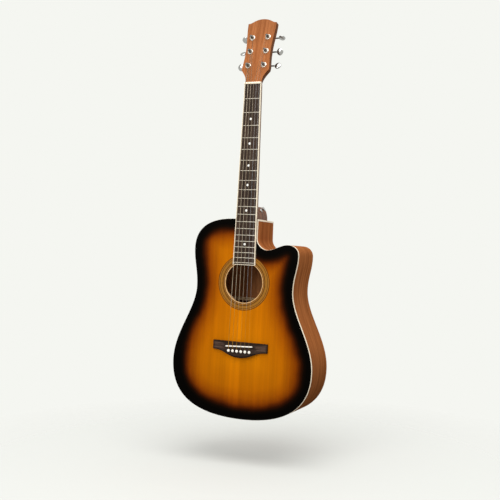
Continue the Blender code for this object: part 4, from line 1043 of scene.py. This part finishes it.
def bridge():
    wing = BRIDGE_V - BRIDGE_WING
    belly = turn_curve((-BRIDGE_HALF, wing), (0, BRIDGE_LOW_V), BELLY_FULLNESS, "uu")
    loop = belly + [(0, BRIDGE_LOW_V)] + [(-u, v) for u, v in reversed(belly)]
    loop += [(BRIDGE_HALF, BRIDGE_V), (-BRIDGE_HALF, BRIDGE_V)]
    holes = [backwards(keyhole(k)) for k in range(STRINGS)]
    mesh = plate([loop] + holes, BRIDGE_SPACING, bridge_top, GAP, soft_top=BRIDGE_ROUND)
    mark_edge(mesh, loop)
    refine("bridge", mesh, [BRIDGE_WOOD], "rosewood")


def saddle():
    low = GAP + BRIDGE_THICK - SADDLE_DEEP
    half = SADDLE_THICK / 2
    ends = spaced(0, pi / 2, CORNER_STEPS)
    places = [(half * (1 - cos(t)) - SADDLE_HALF, max(half * sin(t), SADDLE_TIP)) for t in ends]
    places += [(-u, side) for u, side in reversed(places)]
    rings = []
    for u, side in places:
        crown = [(side * cos(t), SADDLE_TOP - half + half * sin(t)) for t in spaced(0, pi, CROWN_STEPS)]
        rings.append([(u, v, w) for v, w in [(-side, low), (side, low)] + crown])
    place = Matrix.Translation((0, SADDLE_V, 0)) @ Matrix.Rotation(SADDLE_SLANT, 4, "Z")
    refine("saddle", moved(loft(rings), place), [BONE], "cream_plastic")


def bridge_pin(k):
    seat = 2 * GAP + BRIDGE_THICK
    dome = spaced(0, pi / 2, PIN_DOME_STEPS)
    profile = [(PIN_HEAD_RADIUS * sin(t), seat + PIN_HEAD_TALL * between(PIN_RIM, 1, cos(t))) for t in dome]
    profile += [(PIN_HEAD_RADIUS * wide, seat + PIN_HEAD_TALL * high) for wide, high in PIN_UNDERCUT]
    profile += [(PIN_RADIUS, seat), (PIN_TIP_RADIUS, seat - PIN_LONG), (0, seat - PIN_LONG)]
    place = Matrix.Translation((string_place(k, PIN_SPREAD), PIN_V, 0))
    mesh = moved(turned(profile, SMALL_TURN_STEPS), place)
    refine("bridge_pin_" + string_number(k), mesh, [BONE], "cream_plastic")


# Neck

def head_half():
    """Treble half of the headstock's outline, from its foot to its crest."""
    steps = HEAD_CURVE_STEPS
    foot = (NUT_WIDTH / 2, 0)
    shoulder = (HEAD_SHOULDER_WIDTH / 2, HEAD_SHOULDER)
    waist = (HEAD_WAIST_WIDTH / 2, HEAD_WAIST)
    corner = (HEAD_TOP_WIDTH / 2, HEAD_CORNER)
    crest = (0, HEAD_CORNER + HEAD_CROWN)
    leave, flare, arrive = FLARE_FULLNESS
    half = bezier(foot, (foot[0], HEAD_SHOULDER * leave),
                  (between(foot[0], shoulder[0], flare), HEAD_SHOULDER * arrive), shoulder, steps)
    half += turn_curve(shoulder, waist, NARROWING_FULLNESS, "vv", steps)
    half += turn_curve(waist, corner, WIDENING_FULLNESS, "vv", steps)
    half += turn_curve(corner, crest, CROWN_FULLNESS, "uu", 2 * steps)
    return half + [(HEAD_CREST, crest[1])]


def neck_section(half, top, low, square):
    """Ring of (x, height): a flat top, and a round back that turns into a box as square goes from 0 to 1."""
    soft = min(HEAD_ROUND, half / 4)
    ease = soft * EASE
    power = between(1, HEAD_SQUARE, square)
    points = [(x, top) for x in spaced(soft - half, half - soft, NECK_FLAT_STEPS)]
    points.append((half - ease, top - ease))
    for t in spaced(0, pi, BACK_STEPS):
        x = copysign(abs(cos(t)) ** power, cos(t))
        points.append((half * x, top - soft - (top - soft - low) * sin(t) ** power))
    points.append((ease - half, top - ease))
    return points


def neck():
    """Shaft and headstock as one carved surface, from the body to the crest."""
    rings = []
    for share in spaced(0, 1, NECK_STEPS)[:-1]:
        v = between(JOINT_V + GAP, 0, share)
        deep = between(NECK_DEEP_HEEL, NECK_DEEP_NUT, share)
        rings.append([(x, v, w) for x, w in neck_section(board_width(v) / 2, 0, -deep, 0)])
    lean = tan(HEAD_ANGLE)
    rings.append([(x, w * lean, w) for x, w in neck_section(NUT_WIDTH / 2, 0, -NECK_DEEP_NUT, 0)])
    volute_low = -(NECK_DEEP_NUT + HEAD_STEP) / cos(HEAD_ANGLE)
    head_rings = []
    for half, s in head_half():
        share = min(1, s / VOLUTE_LONG)
        low = between(volute_low, -HEAD_THICK, share ** 2 * (3 - 2 * share))
        section = neck_section(half, 0, low, share ** VOLUTE_SQUARING)
        head_rings.append([HEAD @ Vector((x, s, n)) for x, n in section])
    rings.append([(u, v - max(0, w) * lean, min(0, w)) for u, v, w in head_rings[0]])  # foot of the step
    # Faces out of the front take the veneer. The others take the darker neck wood, which is partly painted
    # shade.
    refine("neck", loft(rings + head_rings), [NECK_WOOD_AND_SHADE, HEAD_FACE], "neck_wood", second=faces_up)


def heel_half(deep):
    return between(board_width(JOINT_V) / 2 - GAP, HEEL_CAP_WIDTH / 2, deep / HEEL_DEEP)


def heel():
    """Heel: a nose that narrows towards its cap, with a fillet under the shaft."""
    fillet_low = NECK_DEEP_HEEL + HEEL_FILLET
    depths = [NECK_DEEP_HEEL * share for share in HEEL_INSIDE]
    depths += spaced(NECK_DEEP_HEEL, fillet_low, HEEL_STEPS)
    depths += spaced(fillet_low, HEEL_DEEP - HEEL_ROUND, HEEL_STEPS)[1:]
    depths += [HEEL_DEEP - HEEL_ROUND * (1 - sin(t)) for t in HEEL_ROUND_ANGLES]
    rings = []
    for deep in depths:
        rise = max(0, 1 - max(0, deep - NECK_DEEP_HEEL) / HEEL_FILLET)
        pull = max(0, deep - HEEL_DEEP + HEEL_ROUND)
        trim = HEEL_ROUND - sqrt(max(0, HEEL_ROUND ** 2 - pull ** 2))
        length = HEEL_LONG + HEEL_FILLET * rise ** 2 - trim
        half = heel_half(deep) - trim
        nose = [(half * cos(a), length * sin(a)) for a in spaced(0, pi, BACK_STEPS)]
        rings.append([(u, JOINT_V + GAP + v, -deep) for u, v in nose])
    add("neck_heel", loft(rings), [NECK_WOOD_AND_SHADE], "neck_wood")


def fret_place(n):
    return -SCALE_LENGTH * (1 - 2 ** (-n / 12))


def fingerboard():
    near = -GAP
    far = -BOARD_LONG + BOARD_BINDING
    near_half, far_half = [board_width(v) / 2 - BOARD_BINDING for v in (near, far)]
    loop = [(-near_half, near), (-far_half, far), (far_half, far), (near_half, near)]
    refine("fingerboard", plate([loop], BOARD_SPACING, BOARD_TOP, GAP), [ROSEWOOD], "rosewood")


def frets():
    """Frets with round crowns and bevelled ends."""
    made = []
    for n in range(1, FRETS + 1):
        v = fret_place(n)
        half = board_width(v) / 2 - BOARD_BINDING
        rings = []
        for u, share in ((-half, FRET_END), (FRET_BEVEL - half, 1), (half - FRET_BEVEL, 1), (half, FRET_END)):
            rings.append([(u, v + FRET_WIDE / 2 * cos(t), BOARD_TOP + FRET_TALL * share * sin(t))
                          for t in spaced(0, pi, CROWN_STEPS)])
        made.append(loft(rings))
    add("frets", together(made), [FRET_METAL], "plain_steel")


def dots():
    profile = [(0, DOT_PROUD), (DOT_RADIUS * DOT_TOP, DOT_PROUD), (DOT_RADIUS, 0), (DOT_RADIUS, -DOT_DEEP),
               (0, -DOT_DEEP)]
    made = []
    for n in DOT_FRETS:
        place = Matrix.Translation((0, (fret_place(n - 1) + fret_place(n)) / 2, BOARD_TOP))
        made.append(moved(turned(profile, SMALL_TURN_STEPS), place))
    add("position_dots", together(made), [PEARL], "cream_plastic")


def fingerboard_binding():
    near = -GAP
    far = -BOARD_LONG
    stop = far + BOARD_BINDING
    outer = [board_width(v) / 2 for v in (near, far)]
    inner = [board_width(v) / 2 - BOARD_BINDING for v in (near, stop)]
    loop = [(outer[0], near), (inner[0], near), (inner[1], stop), (-inner[1], stop), (-inner[0], near),
            (-outer[0], near), (-outer[1], far), (outer[1], far)]
    mesh = plate([backwards(loop)], BOARD_BINDING_SPACING, BOARD_TOP, GAP, soft_top=BOARD_BINDING_ROUND)
    refine("fingerboard_binding", mesh, [CREAM], "cream_plastic")


def over_nut(k):
    """String's middle where it crosses the nut's face."""
    height = BOARD_TOP + FRET_TALL + STRING_OVER_FRETS + STRING_DIAMETERS[k] / 2
    return Vector((string_place(k, NUT_SPREAD), 0, height))


def nut():
    """Nut with a round-bottomed slot along the way of each string."""
    half = NUT_WIDTH / 2
    rings = []
    for share in NUT_ROWS:
        v = NUT_LONG * share
        near = min(v, NUT_LONG - v)
        top = NUT_TALL - NUT_ROUND + sqrt(NUT_ROUND ** 2 - max(0, NUT_ROUND - near) ** 2)
        row = [(-half, GAP), (-half, top - NUT_CORNER), (NUT_CORNER - half, top)]
        for k, diameter in enumerate(STRING_DIAMETERS):
            here = over_nut(k)
            way = winding(k)[0] - here
            middle = here + way * (v / way.y)
            room = diameter / 2 + NUT_SLOT_CLEAR
            row.append((middle.x - room, top))
            arc = spaced(0, pi, NUT_SLOT_STEPS)
            row += [(middle.x - room * cos(t), middle.z - room * sin(t)) for t in arc]
            row.append((middle.x + room, top))
        row += [(half - NUT_CORNER, top), (half, top - NUT_CORNER), (half, GAP)]
        rings.append([(u, v, w) for u, w in row])
    refine("nut", loft(rings), [CREAM], "cream_plastic")


# Strings

def post_places():
    """Side of the headstock, and place along it, for each string from bass to treble."""
    heights = [FIRST_POST + POST_PITCH * i for i in range(POSTS_PER_SIDE)]
    return [(-1, s) for s in heights] + [(1, s) for s in reversed(heights)]


def winding(k):
    """Turns round the post, from where the string first meets it, in the guitar's frame."""
    side, s = post_places()[k]
    centre = Vector((side * POST_OUT, s))
    foot = HEAD.inverted() @ over_nut(k)
    away = Vector((foot.x, foot.y)) - centre
    radius = POST_WAIST_RADIUS + GAP + STRING_DIAMETERS[k] / 2
    low = POST_WAIST_LOW + GAP + STRING_DIAMETERS[k] / 2
    start = atan2(away.y, away.x) - side * acos(radius / away.length)
    rise = STRING_DIAMETERS[k] + WINDING_SPACE
    points = []
    for i in range(int(LOOP_POINTS * WINDING_TURNS) + 1):
        turn = i / LOOP_POINTS
        angle = start - side * 2 * pi * turn
        here = (centre.x + radius * cos(angle), centre.y + radius * sin(angle), low + rise * turn)
        points.append(HEAD @ Vector(here))
    return points


def rounded_corner(before, corner, after, size):
    """Points of a short bend in place of a corner."""
    start = corner + (before - corner).normalized() * size
    end = corner + (after - corner).normalized() * size
    return [(1 - t) ** 2 * start + 2 * t * (1 - t) * corner + t * t * end for t in spaced(0, 1, BEND_STEPS)]


def string(k):
    """String from its ball end, over the saddle and through the nut, to its turns on the post."""
    radius = STRING_DIAMETERS[k] / 2
    u = string_place(k, PIN_SPREAD)
    v = PIN_V + slot_offset(k)
    seat = -TOP_THICK - 2 * GAP - PLATE_THICK
    path = []
    radii = []
    for t in spaced(pi * BALL_CUT, pi * (1 - BALL_CUT), BALL_STEPS):
        path.append(Vector((u, v, seat - BALL_RADIUS * (1 + cos(t)))))
        radii.append(max(radius, BALL_RADIUS * sin(t)))
    across = string_place(k, SADDLE_SPREAD)
    at_bridge = Vector((u, v, 2 * GAP + BRIDGE_THICK + radius))
    at_saddle = Vector((across, SADDLE_V + across * tan(SADDLE_SLANT), SADDLE_TOP + radius))
    at_nut = over_nut(k)
    turns = winding(k)
    run = rounded_corner(path[-1], at_bridge, at_saddle, BRIDGE_BEND)
    run += rounded_corner(at_bridge, at_saddle, at_nut, BRIDGE_BEND)
    run += [between(at_saddle, at_nut, share) for share in SPAN_POINTS]
    run += rounded_corner(at_saddle, at_nut, turns[0], NUT_BEND)
    run += turns
    mesh = tube(path + run, radii + [radius] * len(run))
    finish, slot = (BRONZE, "wound_bronze") if k < WOUND_STRINGS else (STEEL, "plain_steel")
    refine("string_" + string_number(k), mesh, [finish], slot)


# Tuning machines

def tuner_bushing():
    """Domed washer, and a hexagonal head with its corners turned off."""
    bore = POST_RADIUS + GAP
    flat = HEX_FLATS / 2

    def hexagon(n, largest):
        sizes = [(t, min(largest, flat / cos((t + pi / 6) % (pi / 3) - pi / 6))) for t in around(TURN_STEPS)]
        return [(size * cos(t), size * sin(t), n) for t, size in sizes]

    washer = GAP + WASHER_THICK
    top = washer + HEX_TALL
    washer_rings = [circle(GAP, bore), circle(GAP, WASHER_RADIUS), circle(GAP + WASHER_RIM, WASHER_RADIUS)]
    washer_rings += [circle(washer - down, WASHER_RADIUS - inwards) for inwards, down in WASHER_DOME]
    washer_rings.append(circle(washer, bore))
    head_rings = [circle(-BUSH_DEEP, BUSH_RADIUS), circle(washer - HEX_SUNK, BUSH_RADIUS),
                  hexagon(washer - HEX_SUNK, HEX_FLATS), hexagon(top - HEX_CHAMFER, HEX_FLATS),
                  hexagon(top, flat), circle(top, bore + BORE_CHAMFER), circle(top - BORE_CHAMFER, bore),
                  circle(-BUSH_DEEP, bore)]
    return together([loft(washer_rings, closed=True), loft(head_rings, closed=True)])


def rounded_box(left, right, low, high, corner):
    loop = []
    corners = ((right - corner, low + corner, -pi / 2), (right - corner, high - corner, 0),
               (left + corner, high - corner, pi / 2), (left + corner, low + corner, pi))
    for u, v, start in corners:
        for t in spaced(start, start + pi / 2, CORNER_STEPS):
            loop.append((u + corner * cos(t), v + corner * sin(t)))
    return loop


def screw_head(tall):
    """Round-headed screw with a slot along y, its underside at z = 0."""
    along, across = SCREW_STEPS
    of_head, of_dome = SLOT_FLOOR

    def dome(x, y):
        return tall * sqrt(max(0, 1 - (x * x + y * y) / SCREW_RADIUS ** 2))

    rings = []
    for t in spaced(pi * SCREW_CUT, pi * (1 - SCREW_CUT), along):
        y = -SCREW_RADIUS * cos(t)
        half = sqrt(SCREW_RADIUS ** 2 - y ** 2)
        slot = min(SCREW_SLOT / 2, half / 2)
        rise = [(x, dome(x, y)) for x in spaced(half, slot, across)]
        right = [(half, -SCREW_SUNK)] + rise + [(slot, min(tall * of_head, dome(slot, y) * of_dome))]
        rings.append([(x, y, z) for x, z in right + [(-x, z) for x, z in reversed(right)]])
    return loft(rings)


def tuner_housing():
    """Cover for the gears with its screw, and a screwed lug towards the headstock's middle."""
    front = -HEAD_THICK - GAP
    back = front - HOUSING_DEEP
    box = rounded_box(-HOUSING_HALF, HOUSING_HALF, HOUSING_LOW, HOUSING_HIGH, HOUSING_CORNER)
    cover = plate([box], HOUSING_SPACING, front, back, soft_bottom=HOUSING_ROUND)
    arc = spaced(pi / 2, 3 * pi / 2, TAB_STEPS)
    lug = [(TAB_RADIUS * cos(t) - TAB_REACH, TAB_RADIUS * sin(t)) for t in arc]
    lug += [(TAB_LAP - HOUSING_HALF, -TAB_RADIUS), (TAB_LAP - HOUSING_HALF, TAB_RADIUS)]
    tab = plate([lug], HOUSING_SPACING, front, front - TAB_THICK, soft_bottom=TAB_ROUND)
    flip = Matrix.Rotation(pi, 4, "X")
    lug_place = Matrix.Translation((-TAB_REACH, 0, front - TAB_THICK)) @ flip
    cover_place = Matrix.Translation((0, 0, back)) @ flip
    screws = [moved(screw_head(LUG_SCREW_TALL), lug_place), moved(screw_head(COVER_SCREW_TALL), cover_place)]
    return together([cover, tab] + screws)


def tuner_button(rest_turn):
    """Worm shaft with its oval button, drawn along +x from the middle of the worm."""
    angles = around(BUTTON_SIDES)

    def round_ring(a, radius):
        return [(a, radius * cos(t), radius * sin(t)) for t in angles]

    def blade_ring(a, swell):
        points = []
        for t in angles:
            across = BUTTON_WIDE / 2 * swell * cos(t)
            over = BUTTON_THICK / 2 * swell * sin(t)
            points.append((a, across * cos(rest_turn) - over * sin(rest_turn),
                           across * sin(rest_turn) + over * cos(rest_turn)))
        return points

    inside = HOUSING_HALF - HOUSING_WALL - GAP
    start = BUTTON_START - POST_OUT
    profile = [(GAP - HOUSING_HALF, SHAFT_RADIUS), (-inside, SHAFT_RADIUS), (-inside, WORM_RADIUS),
               (inside, WORM_RADIUS), (inside, SHAFT_RADIUS), (start - BUTTON_NECK_LONG, SHAFT_RADIUS),
               (start, BUTTON_NECK_RADIUS)]
    rings = [round_ring(a, radius) for a, radius in profile]
    for t in spaced(0, pi, BUTTON_RINGS)[1:]:
        share = (1 - cos(t)) / 2
        swell = max(0, sin(pi * between(BUTTON_ROOT, 1, share))) ** BUTTON_FULLNESS
        rings.append(blade_ring(start + BUTTON_LONG * share, swell))
    return loft(rings)


def tuner(k):
    number = string_number(k)
    side, s = post_places()[k]
    place = HEAD @ Matrix.Translation((side * POST_OUT, s, 0)) @ Matrix.Diagonal((side, 1, 1, 1))
    worm = place @ Matrix.Translation((0, WORM_CENTRE, -HEAD_THICK - WORM_BEHIND))
    refine("tuner_bushing_" + number, moved(tuner_bushing(), place), [BUSH_METAL], "chrome")
    refine("tuner_housing_" + number, moved(tuner_housing(), place), [CHROME], "chrome")
    button = moved(tuner_button(BUTTON_TURNS[k]), worm)
    refine("tuner_button_" + number, button, [CHROME], "chrome", body="button_" + number)


# Strap buttons

def strap_button():
    """Strap button about z, with its base at z = 0 and a sunk middle in its head."""
    arc = spaced(0, pi / 2, CORNER_STEPS)
    brim = STRAP_BRIM
    inner = STRAP_HEAD_RADIUS - brim
    profile = [(radius, STRAP_TALL - deep) for radius, deep in STRAP_SINK]
    profile += [(inner + brim * sin(t), STRAP_TALL - brim + brim * cos(t)) for t in arc]
    profile += [(inner + brim * cos(t), STRAP_TALL - brim - brim * sin(t)) for t in arc[1:]]
    for share in spaced(0, 1, STRAP_STEPS)[1:]:
        flare = STRAP_FLARES[share > STRAP_WAIST] * (share - STRAP_WAIST) ** 2
        radius = between(STRAP_NECK_RADIUS, STRAP_BASE_RADIUS, min(1, flare))
        profile.append((radius, between(STRAP_TALL - 2 * brim, 0, share)))
    profile += [(STRAP_STEM_RADIUS, 0), (STRAP_STEM_RADIUS, -STRAP_STEM_LONG), (0, -STRAP_STEM_LONG)]
    return turned(profile)


def heel_button_frame():
    """Place of the strap button on the heel's treble flank, with z out of the wood."""
    deep = HEEL_DEEP * STRAP_DOWN_HEEL
    half = heel_half(deep)
    narrowing = (heel_half(0) - heel_half(HEEL_DEEP)) / HEEL_DEEP
    across = cos(STRAP_ROUND_HEEL)
    along = sin(STRAP_ROUND_HEEL)
    out = Vector((across / half, along / HEEL_LONG, -narrowing * across ** 2 / half)).normalized()
    foot = Vector((half * across, JOINT_V + GAP + HEEL_LONG * along, -deep)) + GAP * out
    return Matrix.Translation(foot) @ out.to_track_quat("Z", "X").to_matrix().to_4x4()


def strap_buttons():
    refine("heel_strap_button", moved(strap_button(), heel_button_frame()), [CHROME], "chrome")
    level = back_face(0, TAIL_V) * END_PIN_DOWN
    tail = Matrix.Translation((0, TAIL_V - GAP, level)) @ Matrix.Rotation(pi / 2, 4, "X")
    refine("end_pin", moved(strap_button(), tail), [CHROME], "chrome")


# Nodes that stay as they are

def dress_nodes():
    for name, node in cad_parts.items():
        finish = BARE
        if name.startswith("tuner_post"):
            finish = POST_METAL
        elif name == "truss_rod":
            finish = STEEL
        node.data.materials.clear()
        node.data.materials.append(finish)


# Stage

def camera():
    data = bpy.data.cameras.new("camera")
    data.lens = LENS
    data.sensor_width = SENSOR
    back_way = Vector(EYE_RIGHT).cross(Vector(EYE_UP))
    turn = Matrix((EYE_RIGHT, EYE_UP, back_way)).transposed().to_4x4()
    bpy.context.scene.camera = placed("camera", data, Matrix.Translation(EYE) @ turn)


def lamp(name, place, wide, power):
    """Round lamp that shines at the guitar's middle."""
    data = bpy.data.lights.new(name, "AREA")
    data.shape = "DISK"
    data.size = wide
    data.energy = power
    turn = (Vector(MIDDLE) - Vector(place)).to_track_quat("-Z", "Y")
    placed(name, data, Matrix.Translation(place) @ turn.to_matrix().to_4x4())


def surroundings():
    """World that is plain and pale to the camera, and lights the object more from the upper left in front."""
    world = bpy.data.worlds.new("world")
    bpy.context.scene.world = world
    world.use_nodes = True
    tree = world.node_tree
    nodes = Nodes(tree)
    way = nodes.node("TexCoord", {}).outputs["Generated"]
    facing = nodes.vector_math("DOT_PRODUCT", way, Vector(SKY_WAY).normalized())["Value"]
    light = tree.nodes["Background"]
    light.inputs["Color"].default_value = (1, 1, 1, 1)
    tree.links.new(nodes.spread(facing, *SKY_LEVELS, -1, 1), light.inputs["Strength"])
    seen = nodes.node("Background", {"Color": colour(*PALE)})
    path = nodes.node("LightPath", {}).outputs
    mirrored = nodes.math("ADD", path["Is Glossy Ray"], path["Is Transmission Ray"])
    shown = nodes.math("ADD", path["Is Camera Ray"], mirrored, use_clamp=True)
    mix = nodes.node("MixShader", {0: shown, 1: light.outputs[0], 2: seen.outputs[0]})
    tree.links.new(mix.outputs[0], tree.nodes["World Output"].inputs["Surface"])


def floor():
    """Pale disc that fades out into the world."""
    work = bmesh.new()
    bmesh.ops.create_circle(work, cap_ends=True, segments=FLOOR_SIDES, radius=FLOOR_RADIUS)
    mesh = new_mesh(work)
    tint = colour(*FLOOR_TINT)
    finish = Finish("floor", gloss=0.0, Base_Color=tint, Roughness=FLOOR_ROUGHNESS)
    out = finish.vector_math("LENGTH", finish.spot())["Value"]
    finish.join("Alpha", finish.spread(out, FLOOR_ALPHA, 0, FLOOR_RADIUS * FLOOR_FADE, FLOOR_RADIUS))
    mesh.materials.append(finish.material)
    level = Vector(EYE_UP).to_track_quat("Z", "Y").to_matrix().to_4x4()
    disc = placed("floor", mesh, Matrix.Translation((0, 0, FLOOR_LEVEL)) @ level)


def stage():
    camera()
    surroundings()
    floor()
    lamp("key", KEY, KEY_WIDE, KEY_POWER)
    lamp("overhead", OVERHEAD, OVERHEAD_WIDE, OVERHEAD_POWER)
    bpy.context.scene.view_settings.view_transform = "Standard"


def main():
    for make in (dress_nodes, soundboard, rosette, top_binding, sides, back, bridge, saddle, neck, heel,
                 fingerboard, frets, dots, fingerboard_binding, nut):
        make()
    for k in range(STRINGS):
        bridge_pin(k)
        string(k)
        tuner(k)
    strap_buttons()
    stage()


main()
